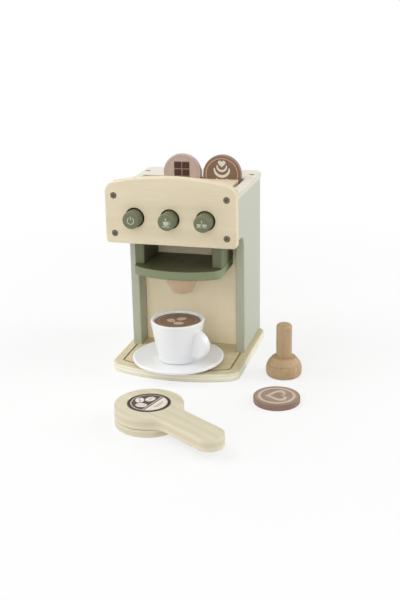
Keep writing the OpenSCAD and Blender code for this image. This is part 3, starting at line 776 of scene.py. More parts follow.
def repeat_print_tree(name):
    """One printed mark repeated on points, turned about z by the point's turn."""
    g, ins, outs = new_tree(name, "GeometryNodeTree", (
        ("Points", "NodeSocketGeometry"), ("Mark", "NodeSocketObject"), ("Material", "NodeSocketMaterial")), (
        ("Geometry", "NodeSocketGeometry"),))
    mark = node(g, "GeometryNodeObjectInfo", {"Object": ins["Mark"]}, transform_space="ORIGINAL")
    turn = node(g, "GeometryNodeInputNamedAttribute", {"Name": "turn"}, data_type="FLOAT")
    spin = node(g, "ShaderNodeCombineXYZ", {"Z": turn.outputs[0]})
    g.links.new(placed(g, ins, mark.outputs["Geometry"], spin.outputs[0]), outs[0])
    return g


def grown(name, tree, points, values, attribute, kind):
    """The plain mesh that a geometry tree grows on points: (place, attribute value) pairs in metres."""
    mesh = bpy.data.meshes.new(name + " Points")
    mesh.from_pydata([p for p, _ in points], [], [])
    layer = mesh.attributes.new(attribute, kind, "POINT")
    for i, (_, value) in enumerate(points):
        setattr(layer.data[i], "vector" if kind == "FLOAT_VECTOR" else "value", value)
    seed = bpy.data.objects.new(name + " Points", mesh)
    bpy.context.scene.collection.objects.link(seed)
    modifier = seed.modifiers.new(tree.name, "NODES")
    modifier.node_group = tree
    sockets = {s.name: s.identifier for s in tree.interface.items_tree if s.in_out == "INPUT"}
    for key, value in values.items():
        modifier[sockets[key]] = value
    seed.update_tag()
    made = bpy.data.meshes.new_from_object(seed.evaluated_get(bpy.context.evaluated_depsgraph_get()))
    seed.modifiers.clear()
    bpy.data.objects.remove(seed)
    bpy.data.meshes.remove(mesh)
    if not made.polygons:
        raise RuntimeError(name + ": the geometry tree made no faces")
    kept = [m for m in made.materials if m is not None]
    made.polygons.foreach_set("material_index", [0] * len(made.polygons))
    made.materials.clear()
    for material in kept[:1]:
        made.materials.append(material)
    made.name = name
    return made


def repeated(form, mark, spots, lift, material):
    """Adds a mark, drawn as outlines, to a disc's print at each (x, y, turn) spot, lift print heights up."""
    height = DISC_T + lift * setting("print_height")
    stamp = Form()
    for outline in mark:
        stamp.slab(outline, -PRINT_ROOT, setting("print_height"))
    bmesh.ops.recalc_face_normals(stamp.bm, faces=stamp.bm.faces)
    mesh = bpy.data.meshes.new("Mark")
    stamp.bm.to_mesh(mesh)
    stamp.bm.free()
    source = bpy.data.objects.new("Mark", mesh)
    made = grown("Marks", shared_tree("Repeat Print", repeat_print_tree),
                 [((x, y, height), turn) for x, y, turn in spots],
                 {"Mark": source, "Material": material}, "turn", "FLOAT")
    made.transform(form.place)
    before = len(form.bm.faces)
    form.bm.from_mesh(made)
    form.bm.faces.ensure_lookup_table()
    for face in form.bm.faces[before:]:
        face.material_index = 0
    bpy.data.meshes.remove(made)
    bpy.data.objects.remove(source)
    bpy.data.meshes.remove(mesh)


# ---------------------------------------------------------------- the machine


def pits(spots, head_d, depth, gap=0.15):
    """Round dents for screw heads at (x, y) spots, as (loop, depth) pairs."""
    return [(circle(head_d / 2 + gap, 32, x, y), depth) for x, y in spots]


def make_base_board():
    low, high = box("base_board")
    w, d, t = high - low
    column = box("left_side_panel")[1].y - COLUMN_DEPTH

    def line(step):
        bow = BASE_BOW * (1 - 2 * step / w)
        return bowed(w - 2 * step, d - 2 * step, bow, BASE_FRONT_R - step, half_open=column)

    groove = line(GROOVE_NEAR) + line(GROOVE_FAR)[::-1]
    # The base's edges take the rim colour: paler bare ply with painted light from the floor's glare
    coat = plywood("Birch Base Board", "base", "base_board", 2, shift=0.31, ply=0.6, rim=shade("base_rim_and_glare"))
    # The groove gets painted shade
    cut = wood("Routed Groove", "groove")
    Form(at(0, 0, low.z)).slab(
        bowed(w, d, BASE_BOW, BASE_FRONT_R, BASE_REAR_R), 0, t, setting("board_round"),
        dents=[(groove, GROOVE_DEPTH)], low_dents=pits(BASE_SCREWS, SCREW_HEAD_D, 2.5), dent_index=1).piece(
        "Base_Board", "machine", [coat, cut], "birch_board", ["base_board"])


def make_side_panels():
    # The broad faces of each panel get painted light over the sage of its edges
    outer = shade("sage_painted_light")
    sage = finish("Sage Paint", paint_finish, shade("sage"), 0.55, 0.022, 0.35, 0.12,
                  facets=(((1, 0, 0), outer), ((-1, 0, 0), outer)))
    for side in ("left", "right"):
        cad = side + "_side_panel"
        low, high = box(cad)
        column, r = high.y - COLUMN_DEPTH, THROAT_R
        outline = [Vector(corner) for corner in ((column, low.z), (high.y, low.z), (high.y, high.z),
                                                 (low.y, high.z), (low.y, HEAD_Z))]
        outline += arc(r, column - r, HEAD_Z - r, 90, 0, 12)
        Form(at(low.x, 0, 0, SIDE)).slab(outline, 0, high.x - low.x, setting("panel_round")).piece(
            cad.title(), "machine", [sage], "pale_green_paint", [cad])


def make_front_board():
    low, high = box("front_board")
    w, t, h = high - low
    mid_z = (low.z + high.z) / 2
    arch = [Vector((p.x, -p.y)) for p in bowed(w, h, FRONT_BOW, FRONT_TOP_R, FRONT_LOW_R)]
    buttons = [middle(name + "_button") for name in BUTTONS]
    holes = [circle(BUTTON_HOLE_D / 2, 64, x, z - mid_z) for x, _, z in buttons]
    dents = pits([(x, z - mid_z) for x, z in FRONT_SCREWS], SCREW_HEAD_D, 2.4, 0.2)
    coat = plywood("Birch Front Board", "birch", "front_board", 1, figure=0.5, fibre=0.25)
    # The hole walls get painted shade
    bore = finish("Shaded Bore", paint_finish, shade("bore"), 0.8, 0.05, 0.4, specular=0.1)
    # The walls of the screw pits get painted shade in the screws' colour
    pit_painted_shade = finish("Screw Pit", paint_finish, shade("screw"), 0.7, 0.05, 0.4, specular=0.2)
    Form(at(0, high.y, mid_z, FRONT)).slab(arch, 0, t, setting("board_round"), holes=holes, dents=dents,
                                           hole_r=0.3, hole_index=1, dent_index=2).piece(
        "Front_Board", "machine", [coat, bore, pit_painted_shade], "birch_board", ["front_board"])


def make_top_panel():
    low, high = box("top_panel")
    r, sharp = TOP_CORNER_R, 0.6
    outline = soften([(low.x, low.y, sharp), (high.x, low.y, sharp), (high.x, high.y, r), (low.x, high.y, r)],
                     steps=8)
    front, back = box("rack_block")[0].y - RACK_GAP, box("chocolate_disc")[1].y + RACK_GAP
    hole = rectangle(-RACK_LENGTH / 2, front, RACK_LENGTH / 2, back, 0.8, 3)
    coat = plywood("Birch Top Panel", "top", "top_panel", 2, shift=0.83, figure=0.4, fibre=0.2)
    Form(at(0, 0, low.z)).slab(outline, 0, high.z - low.z, 2.0, holes=[hole],
                               dents=pits(TOP_SCREWS, SCREW_HEAD_D, 2.2), hole_r=setting("hole_round")).piece(
        "Top_Panel", "machine", [coat], "birch_board", ["top_panel"])


def make_plain_board(cad, axis, grain, shift, tone="birch"):
    """A straight board of one CAD box, upright where its thin axis is 1 and lying flat where it is 2."""
    low, high = box(cad)
    w, d, h = high - low
    if axis == 1:
        place, long, t = at(low.x, high.y, low.z, FRONT), h, d
    else:
        place, long, t = at(*low), d, h
    edge = 0.8
    coat = plywood("Birch " + cad.replace("_", " ").title(), tone, cad, axis, grain=grain,
                   layers=3 if t < 8 else 5, shift=shift)
    Form(place).slab(rectangle(0, 0, w, long, edge, 3), 0, t, edge, steps=3).piece(
        cad.title(), "machine", [coat], "birch_board", [cad])


def make_inner_boards():
    # The bay's back board is drawn in a lighter copy of the birch, as painted light
    make_plain_board("bay_back_board", 1, "z", 0.17, "bay")
    make_plain_board("rear_panel", 1, "z", 0.57)
    make_plain_board("rack_block", 2, "x", 0.71)
    for shift, cad in ((0.2, "head_floor"), (0.4, "spring_board"), (0.6, "disc_shelf")):
        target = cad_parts[cad]
        target.data.materials.clear()
        target.data.materials.append(wood("Birch " + cad.replace("_", " ").title(), "birch", shift=shift))


def olive_coat(name, which, facets):
    return finish(name, paint_finish, shade(which), 0.55, 0.03, 0.35, 0.12, grain="x", facets=facets)


def make_holder():
    low, high = box("holder_plate")
    x, y, _ = middle("holder_plate")
    inside = shade("olive_painted_shade")
    # The plate gets painted light on its edge, painted shade on its top and plain olive underneath
    coat = olive_coat("Olive Plate Paint", "olive_edge_painted_light", (((0, 0, 1), inside), ((0, 0, -1), shade("olive"))))
    dents = pits([(SPOUT_SCREW[0] - x, SPOUT_SCREW[1] - y)], SPOUT_SCREW_HEAD_D, 2.2)
    Form(at(x, y, low.z)).slab(
        bowed(high.x - low.x, high.y - low.y, HOLDER_BOW, HOLDER_FRONT_R, 1.9), 0, high.z - low.z,
        setting("holder_round"), dents=dents).piece(
        "Holder_Plate", "machine", [coat], "olive_green_paint", ["holder_plate"])
    for side, inward in (("left", 1), ("right", -1)):
        cad = "holder_" + side + "_cheek"
        low, high = box(cad)
        # The cheek's inner face gets painted shade
        coat = olive_coat("Olive Cheek Paint " + side.title(), "olive", (((inward, 0, 0), inside),))
        outline = soften([(low.x, low.y, 2), (high.x, low.y, 2), (high.x, high.y, 1), (low.x, high.y, 1)])
        Form(at(0, 0, low.z)).slab(outline, 0, high.z - low.z, 0.9).piece(
            cad.title(), "machine", [coat], "olive_green_paint", [cad])


def make_spout():
    low, high = box("spout")
    r, long = (high.x - low.x) / 2, high.z - low.z
    chamfer = [(0, long), (r - 0.8, long), (r - 0.25, long - 0.25), (r, long - 0.8)]
    # The cylinder's lower end, then a cone that ends in a round tip
    cone = [(r, 0.45 * long)] + [(r * (0.55 + 0.17 * math.cos(a)), long * 0.08 * (1 - math.sin(a)))
                                 for a in map(math.radians, range(0, 91, 6))]
    coat = wood("Spout Wood", "spout", grain="z", figure=0.5, fibre=0.5)
    Form(foot("spout")).turned(chamfer + cone + [(0, 0)]).piece(
        "Spout", "machine", [coat], "brown_wood", ["spout"])


def make_screws():
    steel = finish("Dark Screw Steel", metal_finish, shade("screw"), 0.62, 0.0)
    black = finish("Black Screw Steel", metal_finish, shade("black"), 0.62, 0.0)
    front, top = box("front_screws")[0].y, box("top_screws")[1].z
    under, seat = box("base_screws")[0].z, box("spout_screw")[1].z
    sets = (
        ("front_screws", [(x, front, z) for x, z in FRONT_SCREWS], (0, -1, 0), SCREW_HEAD_D, steel),
        ("top_screws", [(x, y, top) for x, y in TOP_SCREWS], (0, 0, 1), SCREW_HEAD_D, steel),
        ("base_screws", [(x, y, under) for x, y in BASE_SCREWS], (0, 0, -1), SCREW_HEAD_D, steel),
        ("spout_screw", [(*SPOUT_SCREW, seat)], (0, 0, 1), SPOUT_SCREW_HEAD_D, black),
    )
    for cad, places, aim, head, coat in sets:
        points = [(tuple(c / 1000 for c in place), aim) for place in places]
        values = {"Head Diameter": head / 1000, "Shank Diameter": SCREW_SHANK_D / 1000,
                  "Length": SCREW_LENGTH / 1000, "Recess Width": RECESS_WIDTH / 1000, "Material": coat}
        mesh = grown(cad.title(), shared_tree("Wood Screws", wood_screw_tree), points, values, "aim",
                     "FLOAT_VECTOR")
        hand_over(cad.title(), mesh, "machine", [cad])


def make_springs():
    wire = finish("Spring Steel", metal_finish, shade("spring"), 0.28, 1.0)
    for name in BUTTONS:
        cad = name + "_spring"
        bm = bmesh.new()
        bm.from_mesh(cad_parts[cad].data)
        bmesh.ops.remove_doubles(bm, verts=bm.verts, dist=1e-6)
        mesh = bpy.data.meshes.new(name.title() + "_Coil")
        bm.to_mesh(mesh)
        bm.free()
        mesh.materials.clear()
        mesh.materials.append(wire)
        coil = hand_over(name.title() + "_Coil", mesh, "machine", [cad])
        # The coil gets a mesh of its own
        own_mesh(coil)


# ---------------------------------------------------------------- buttons


def cup_sign(x, y, s):
    """Outlines of a small cup on its saucer, with its handle."""
    bowl = soften([(-2.0 * s, 1.5 * s), (-1.5 * s, -1.2 * s, 1.0 * s), (1.5 * s, -1.2 * s, 1.0 * s),
                   (2.0 * s, 1.5 * s)], steps=4)
    ear = stroke(arc(0.85 * s, 1.9 * s, 0.4 * s, -80, 85, 8), 0.5 * s, 3)
    dish = stroke([Vector((-2.4 * s, -2.0 * s)), Vector((2.4 * s, -2.0 * s))], 0.6 * s, 3)
    return [[p + Vector((x, y)) for p in loop] for loop in (bowl, ear, dish)]


def steam_sign(x, y, s):
    line = [Vector((x + 0.45 * s * math.sin(k * 1.05), y + 0.5 * s * k * 0.55)) for k in range(7)]
    return [stroke(line, 0.55 * s, 3)]


def button_signs(name):
    if name == "power":
        broken_ring = stroke(arc(4.0, 0, -0.3, 125, 415, 28), 1.1, 4)
        return [broken_ring, stroke([Vector((0, 0.9)), Vector((0, 4.8))], 1.1, 4)]
    if name == "single":
        return cup_sign(-0.2, -1.6, 1.75) + steam_sign(-0.2, 2.0, 1.6)
    return cup_sign(-3.8, -1.6, 1.15) + cup_sign(2.9, -1.6, 1.15) + steam_sign(-0.2, 1.5, 1.5)


def make_buttons():
    # The buttons' sides get painted shade, and their faces the plain button paint
    coat = finish("Olive Button Paint", paint_finish, shade("button_side"), 0.42, 0.03, 0.35, 0.12, coat=0.3,
                  grain="x", facets=(((0, -1, 0), shade("button")),))
    seat = box("front_board")[1].y
    r, stem, flange_t = BUTTON_D / 2, BUTTON_STEM_D / 2, BUTTON_FLANGE_T
    for name in BUTTONS:
        cad = name + "_button"
        low, high = box(cad)
        x, _, z = middle(cad)
        long, back, flange = seat - low.y, high.y - seat, (high.x - low.x) / 2
        profile = soften([(0, -back), (stem, -back, 0.5), (stem, -flange_t, 0.3), (flange, -flange_t, 0.5),
                          (flange, 0, 0.5), (r, 0, 0.2), (r, long, 2.0), (0, long)], closed=False, steps=6)
        place = at(x, seat, z, FRONT)
        Form(place).turned(profile).piece(cad.title(), cad, [coat], "olive_green_paint", [cad])
        signs = Form(place)
        for outline in button_signs(name):
            signs.slab(outline, long - PRINT_ROOT, long + setting("print_height"))
        signs.piece(cad.title() + "_Sign", cad, [ink("sign")], "olive_green_paint")


# ---------------------------------------------------------------- discs


def bean_mark(long, wide):
    """A coffee bean as two lobes with a curved slit between them."""
    lobes = []
    gap, bend, tip, steps = 0.45, 0.09 * wide, 78, 12
    for side in (-1, 1):
        rim = [Vector((side * (wide / 2) * math.cos(a), (long / 2) * math.sin(a)))
               for a in [math.radians(-tip + 2 * tip * k / steps) for k in range(steps + 1)]]
        slit = [Vector((side * gap + bend * math.sin(2.6 * math.pi * way), -0.92 * long * way))
                for way in (k / 8 - 0.5 for k in range(9))]
        lobes.append(rim + slit)
    return lobes


def heart(size, y):
    """The classic heart curve, standing upright."""
    steps = 48
    loop = []
    for a in (2 * math.pi * k / steps for k in range(steps)):
        rise = 13 * math.cos(a) - 5 * math.cos(2 * a) - 2 * math.cos(3 * a) - math.cos(4 * a)
        loop.append(Vector((size * 16 * math.sin(a) ** 3 / 17, y + size * rise / 17)))
    return loop


def make_disc(cad, place, coat, edge=1.0):
    """The turned wood of one coffee disc, which rides on the body of its own name."""
    low, high = box(cad)
    r = max(high - low) / 2
    profile = soften([(0, 0), (r, 0, edge), (r, DISC_T, edge), (0, DISC_T)], closed=False)
    Form(place).turned(profile).piece(cad.title(), cad, [coat], "brown_wood", [cad])


def printed(place, layers):
    """Print on a disc's face: (outline, holes, material index, lift in print heights) rows."""
    form = Form(place)
    for outline, holes, index, lift in layers:
        top = DISC_T + lift * setting("print_height")
        form.slab(outline, DISC_T - PRINT_ROOT, top, holes=holes, index=index)
    return form


def field(r, index, lift):
    return circle(r, DISC_STEPS), (), index, lift


def ring(r, width, index, lift):
    return circle(r + width / 2, DISC_STEPS), [circle(r - width / 2, DISC_STEPS)], index, lift


def stained(name, shift):
    return wood(name, "brown", shift=shift, figure=0.6, fibre=0.6)


def standing(cad):
    """The place of a disc that stands in the rack, with its printed face to the front."""
    x, _, z = middle(cad)
    return at(x, box(cad)[1].y, z, FRONT)


def make_rack_discs():
    """The wood of the two discs that stand in the rack."""
    make_disc("chocolate_disc", standing("chocolate_disc"), wood("Chocolate Disc Wood", "disc", shift=0.4))
    make_disc("latte_disc", standing("latte_disc"), stained("Latte Disc Wood", 0.9))


def print_chocolate_disc():
    """A bar of two by three squares on a brown ground, in a thin ring."""
    bar = rectangle(-10.3, -13.2, 10.3, 15.0, 1.0)
    square = rectangle(-4.6, -3.95, 4.6, 3.95, 0.7, 3)
    form = printed(standing("chocolate_disc"), [ring(21.2, 0.7, 1, 1.0), (bar, (), 2, 1.0)])
    dark = ink("cocoa")
    repeated(form, [square], [(x, y, 0.0) for x in (-5.25, 5.25) for y in (-8.4, 0.9, 10.2)], 1.4, dark)
    form.piece("Chocolate_Disc_Print", "chocolate_disc", [dark, ink("disc_dark"), ink("toffee")],
               "brown_wood")


def print_latte_disc():
    """A poured leaf of nested crescents under a heart, on a coffee ground inside a copper ring."""
    layers = [field(22.6, 0, 1.0), ring(20.4, 1.3, 1, 2.0)]
    steps = 24
    for radius, y, thick, span in ((6.0, 10.6, 2.8, 100), (9.6, 7.4, 3.5, 92), (7.6, -1.6, 3.0, 62)):
        crescent = arc(radius, 0, y, 270 - span, 270 + span, steps)
        widths = [thick * (0.4 + 0.6 * math.sin(math.pi * k / steps) ** 0.6) for k in range(steps + 1)]
        layers.append((stroke(crescent, widths, 4), (), 2, 2.0))
    stem = stroke([Vector((0, -12.0)), Vector((0, -16.5))], [1.6, 0.5], 4)
    layers += [(heart(5.2, 14.0), (), 2, 2.0), (stem, (), 2, 2.0)]
    inks = [ink("coffee"), ink("copper"), ink("cream")]
    printed(standing("latte_disc"), layers).piece("Latte_Disc_Print", "latte_disc", inks, "brown_wood")


def make_cup_disc():
    """Three coffee beans on a coffee ground in a thin copper ring."""
    place = foot("cup_disc")
    make_disc("cup_disc", place, stained("Cup Disc Wood", 1.4))
    form = printed(place, [field(26.6, 1, 1.0), ring(23.6, 0.6, 2, 2.0)])
    pale = ink("tan")
    spots = ((-7.9, -1.4, 0.75), (3.6, 6.6, -0.8), (4.0, -9.2, 1.75))
    repeated(form, bean_mark(13.4, 9.2), spots, 1.4, pale)
    form.piece("Cup_Disc_Print", "cup_disc", [pale, ink("coffee"), ink("copper")], "brown_wood")


def make_heart_disc():
    """A heart in a ring, printed on a washed face."""
    place = foot("heart_disc")
    make_disc("heart_disc", place, stained("Heart Disc Wood", 2.1))
    layers = [field(25.6, 1, 1.0), ring(20.4, 3.4, 0, 2.0), (heart(15.4, 0.6), [heart(9.6, 1.1)], 0, 2.0)]
    wash = shade("wash")
    stain = finish("Washed Disc Face", board_finish, [c * 1.12 for c in wash], [c * 0.8 for c in wash],
                   shift=3.3, figure=0.6, fibre=0.6, turn=(0, 0, math.radians(65)))
    aside = place @ Matrix.Rotation(math.radians(-75), 4, "Z")
    printed(aside, layers).piece("Heart_Disc_Print", "heart_disc", [ink("blush"), stain], "brown_wood")


def make_bean_disc():
    """Three beans on a dark ground, beside a pale field behind a slanting line, inside a black edge."""
    place = foot("bean_disc")
    make_disc("bean_disc", place, stained("Bean Disc Wood", 2.8), 0.4)
    lean, inner, offset = 73.6, 20.0, 6.6
    along = Vector((math.cos(math.radians(lean)), math.sin(math.radians(lean))))
    across = Vector((along.y, -along.x))
    half = math.degrees(math.acos(offset / inner))
    segment = arc(inner, 0, 0, lean - 90 - half, lean - 90 + half, 40)
    stripe = stroke([across * 4.4 - along * 18.6, across * 4.4 + along * 18.6], 1.3, 2)
    bend = [across * 12.2 - along * 7.0, across * 13.2, across * 12.2 + along * 8.5]
    form = printed(place, [field(23.9, 1, 1.0), field(20.8, 2, 2.0), field(19.6, 3, 3.0),
                           (segment, (), 0, 4.0), (stripe, (), 2, 4.0),
                           (stroke(bend, [2.0, 4.2, 2.0], 4), (), 2, 5.0)])
    pale = ink("cream")
    spots = ((-12.0, 3.2, 0.3), (-1.2, 8.6, -0.45), (-6.2, -8.8, 1.5))
    repeated(form, bean_mark(13.6, 9.8), spots, 4.0, pale)
    form.piece("Bean_Disc_Print", "bean_disc", [pale, ink("black"), ink("tan"), ink("roast")], "brown_wood")


# ---------------------------------------------------------------- cup and saucer


def white_coat():
    return finish("White Paint", paint_finish, shade("white"), 0.34, 0.006, 0.1, 0.05, coat=0.25,
                  specular=0.45)


def make_saucer():
    low, high = box("saucer")
    r, h = (high.x - low.x) / 2, high.z - low.z
    base, well, slope, floor, edge = 32.0, 24.6, 6.0, 4.6, 2.25
    profile = soften([(0, 0), (base, 0, 0.5), (base + 1, 0.6, 2), (r - slope, h - 2 * edge - 0.8, 4),
                      (r - edge, h - 2 * edge)], False, 4)[:-1]
    profile += arc(edge, r - edge, h - edge, -88, 88, 12)
    profile += soften([(r - edge, h), (r - slope, h - 0.6, 10), (well + slope, floor + 0.5, 10),
                       (well, floor, 3), (0, floor)], False, 6)[1:]
    Form(foot("saucer")).turned(profile).piece("Saucer", "saucer", [white_coat()], "white_paint", ["saucer"])


def make_cup():
    low, high = box("cup")
    h, r = high.z - low.z, (high.x - low.x) / 2
    base, low_bend, lip, wall, floor, fillet = 23.1, 6.5, 1.9, 3.8, 5.0, 6.0
    pocket, ledge_r, ledge, lead_in = 28.8, 25.8, box("cup_disc")[0].z - low.z, 49.0

    def outer(z):
        return (CUP_LOW_D + (CUP_D - CUP_LOW_D) * z / h) / 2

    wide, inner, well = outer(low_bend), outer(floor + fillet) - wall, floor + fillet
    profile = [(0, 0)] + [(base + (wide - base) * math.cos(a), low_bend * (1 + math.sin(a)))
                          for a in map(math.radians, range(-90, 1, 10))]
    profile += [(outer(z), z) for z in (18, 30, 42)] + arc(lip, r - lip, h - lip, 10, 165, 12)
    profile += [(pocket + 0.1, lead_in), (pocket, lead_in - 0.6), (pocket, ledge), (ledge_r, ledge)]
    profile += [(inner, well)]
    profile += arc(fillet, inner - fillet, well, 0, -90, 8) + [(0, floor)]
    Form(foot("cup")).turned(profile).piece("Cup", "cup", [white_coat()], "white_paint", ["cup"])

    # Handle: a solid ear with a round end and softened edges, rooted inside the cup's wall
    y = middle("cup")[1]
    ear = [Vector((22.5, -EAR_R))] + arc(EAR_R, EAR_REACH - EAR_R, 0, -90, 90, 40) + [Vector((28.0, EAR_R))]
    place = at(0, y, low.z + EAR_Z) @ Matrix.Rotation(math.radians(-EAR_ANGLE), 4, "Z") @ FRONT
    Form(place).slab(ear, -EAR_W / 2, EAR_W / 2, 3.0, steps=6).piece(
        "Cup_Handle", "cup", [white_coat()], "white_paint", ["cup_handle"])


# ---------------------------------------------------------------- portafilter and tamper


def make_portafilter():
    place = at(*FILTER_PLACE, 0, Matrix.Rotation(math.radians(FILTER_ANGLE), 4, "Z"))
    low, high = box("portafilter_board")
    w, r, fillet = FILTER_HANDLE_W / 2, FILTER_D / 2, FILTER_FILLET
    fy = w + fillet
    fx = math.sqrt((r + fillet) ** 2 - fy * fy)
    lean = math.degrees(math.atan2(fy, fx))
    side = (arc(r, 0, 0, 180, lean, 48) + arc(fillet, fx, fy, 180 + lean, 270, 14)
            + arc(w, FILTER_REACH - w, 0, 90, 0, 20))
    outline = side + [Vector((p.x, -p.y)) for p in side[-2:0:-1]]
    edge = setting("filter_round")
    turn = (0, 0, math.radians(-FILTER_ANGLE))
    coat = plywood("Birch Portafilter Board", "filter", "portafilter_board", 2, layers=3, shift=1.1,
                   turn=turn, figure=0.5, fibre=0.4, ply=0.7, rim=shade("filter_rim"))
    Form(place @ at(0, 0, low.z)).slab(
        outline, 0, high.z - low.z, edge, dents=[(circle(POCKET_R, DISC_STEPS), DISC_T)]).piece(
        "Portafilter_Board", "portafilter", [coat], "birch_board", ["portafilter_board"])
    seam = low.z
    coat = plywood("Birch Portafilter Puck", "filter", "portafilter_puck", 2, layers=3, shift=1.7, turn=turn,
                   ply=0.6, rim=shade("filter_rim"))
    Form(place).turned(soften([(0, 0), (r, 0, edge), (r, seam, edge), (0, seam)], False, 6)).piece(
        "Portafilter_Puck", "portafilter", [coat], "birch_board", ["portafilter_puck"])


def make_tamper():
    coat = wood("Beech Tamper", "beech", grain="z", figure=0.45, fibre=0.6, roughness=0.52)
    low, high = box("tamper_foot")
    x, y, _ = middle("tamper_foot")
    r, h = (high.x - low.x) / 2, high.z - low.z
    # A rounded base, a straight belt, and a shoulder that narrows upwards with a turned line around it
    belt_low, belt_high, line_at, line_width, line_depth, steps = 0.23 * h, 0.41 * h, 5 / 12, 0.016, 0.7, 48
    profile = [(0, 0)] + [(r * (0.84 + 0.16 * math.sin(a)), belt_low * (1 - math.cos(a)))
                          for a in map(math.radians, range(0, 91, 9))]
    for t in (k / steps for k in range(steps + 1)):
        line = line_depth * math.exp(-((t - line_at) / line_width) ** 2)
        profile.append((r * (1 - 0.34 * t ** 1.9) - line, belt_high + (h - belt_high) * t))
    profile.append((0, h))
    Form(at(x, y, 0)).turned(profile).piece(
        "Tamper_Foot", "tamper", [coat], "beech", ["tamper_foot"], sharp=50)
    low, high = box("tamper_handle")
    r, tall = (high.x - low.x) / 2, high.z - low.z
    profile = soften([(0, 0), (r, 0, 0.3), (r, tall, 4.0), (0, tall)], False, 8)
    Form(at(x, y, low.z)).turned(profile).piece("Tamper_Handle", "tamper", [coat], "beech", ["tamper_handle"])


# ---------------------------------------------------------------- stage


def seen_directly(tree):
    """1 for the camera's rays and those seen in or through a gloss, 0 for light that bounces."""
    rays = node(tree, "ShaderNodeLightPath").outputs
    return maths(tree, "MAXIMUM", rays["Is Camera Ray"],
                 maths(tree, "MAXIMUM", rays["Is Glossy Ray"], rays["Is Transmission Ray"]))


def white(tree, kind, strength):
    return node(tree, kind, {"Color": (1, 1, 1, 1), "Strength": strength})


def mixed(tree, factor, first, second, output):
    """Ends a cleared tree in a mix of two shaders."""
    both = node(tree, "ShaderNodeMixShader", {0: factor})
    tree.links.new(first.outputs[0], both.inputs[1])
    tree.links.new(second.outputs[0], both.inputs[2])
    tree.links.new(both.outputs[0], node(tree, output).inputs[0])


def floor_finish():
    """Pale ground that the camera sees almost white, with the shadows kept."""
    made = bpy.data.materials.new("Pale Floor")
    made.use_nodes = True
    tree = made.node_tree
    tree.nodes.clear()
    where = node(tree, "ShaderNodeTexCoord").outputs["Object"]
    tone = blend(tree, spread(tree, noise(tree, where, 3.0), 0.3, 0.7),
                 (*FLOOR_TONE, 1), (*[c * 1.01 for c in FLOOR_TONE], 1))
    away = node(tree, "ShaderNodeVectorMath", {0: where}, operation="LENGTH").outputs["Value"]
    factor = maths(tree, "MULTIPLY", seen_directly(tree), spread(tree, away, 0.26, 0.75, 0.72, 1.0))
    matt = node(tree, "ShaderNodeBsdfDiffuse", {"Color": tone})
    mixed(tree, factor, matt, white(tree, "ShaderNodeEmission", 1.0), "ShaderNodeOutputMaterial")
    return made


def make_floor():
    mesh = bpy.data.meshes.new("Floor")
    mesh.from_pydata([(-20, -8, 0), (20, -8, 0), (20, 40, 0), (-20, 40, 0)], [], [(0, 1, 2, 3)])
    mesh.materials.append(floor_finish())
    floor = bpy.data.objects.new("Floor", mesh)
    bpy.context.scene.collection.objects.link(floor)


def make_world():
    """A dim white room for the light, which the camera sees as plain white."""
    world = bpy.data.worlds.new("Studio")
    bpy.context.scene.world = world
    world.use_nodes = True
    tree = world.node_tree
    tree.nodes.clear()
    room, backdrop = white(tree, "ShaderNodeBackground", 0.15), white(tree, "ShaderNodeBackground", 1.0)
    mixed(tree, seen_directly(tree), room, backdrop, "ShaderNodeOutputWorld")


def make_lamps():
    for name, (place, size, power) in SOFTBOXES.items():
        light = bpy.data.lights.new(name + " Softbox", "AREA")
        light.shape = "RECTANGLE"
        light.size, light.size_y = size
        light.energy = power
        lamp = bpy.data.objects.new(light.name, light)
        lamp.location = place
        lamp.rotation_euler = (Vector(LAMP_AIM) - Vector(place)).to_track_quat("-Z", "Y").to_euler()
        bpy.context.scene.collection.objects.link(lamp)


def make_camera():
    turn, dip, roll = CAMERA_ANGLES
    ahead = Vector((-math.sin(turn) * math.cos(dip), math.cos(turn) * math.cos(dip), -math.sin(dip)))
    right = Vector((math.cos(turn), math.sin(turn), 0.0))
    up = right.cross(ahead)
    right, up = (right * math.cos(roll) + up * math.sin(roll), up * math.cos(roll) - right * math.sin(roll))
    lens = bpy.data.cameras.new("Camera")
    lens.lens = FOCAL_LENGTH
    lens.sensor_width = 36.0
    lens.sensor_fit = "AUTO"
    lens.clip_end = 100.0
    camera = bpy.data.objects.new("Camera", lens)
    pose = Matrix((right, up, -ahead)).transposed().to_4x4()
    pose.translation = CAMERA_PLACE
    camera.matrix_world = pose
    bpy.context.scene.collection.objects.link(camera)
    bpy.context.scene.camera = camera
    bpy.context.scene.view_settings.view_transform = "Standard"


# ---------------------------------------------------------------- operators


class COFFEE_OT_base_board(bpy.types.Operator):
    """Makes the base board with its routed groove"""

    bl_idname = "coffee.base_board"
    bl_label = "Base Board"

    def execute(self, context):
        make_base_board()
        return {"FINISHED"}


class COFFEE_OT_side_panels(bpy.types.Operator):
    """Makes the two painted side panels"""

    bl_idname = "coffee.side_panels"
    bl_label = "Side Panels"

    def execute(self, context):
        make_side_panels()
        return {"FINISHED"}


class COFFEE_OT_front_board(bpy.types.Operator):
    """Makes the arched front board with its button holes"""

    bl_idname = "coffee.front_board"
    bl_label = "Front Board"

    def execute(self, context):
        make_front_board()
        return {"FINISHED"}


class COFFEE_OT_top_panel(bpy.types.Operator):
    """Makes the top panel with the rack's opening"""

    bl_idname = "coffee.top_panel"
    bl_label = "Top Panel"

    def execute(self, context):
        make_top_panel()
        return {"FINISHED"}


class COFFEE_OT_inner_boards(bpy.types.Operator):
    """Makes the bay back, the rear panel and the rack block, and finishes the boards inside"""

    bl_idname = "coffee.inner_boards"
    bl_label = "Inner Boards"

    def execute(self, context):
        make_inner_boards()
        return {"FINISHED"}


class COFFEE_OT_holder(bpy.types.Operator):
    """Makes the portafilter holder"""

    bl_idname = "coffee.holder"
    bl_label = "Holder"

    def execute(self, context):
        make_holder()
        return {"FINISHED"}


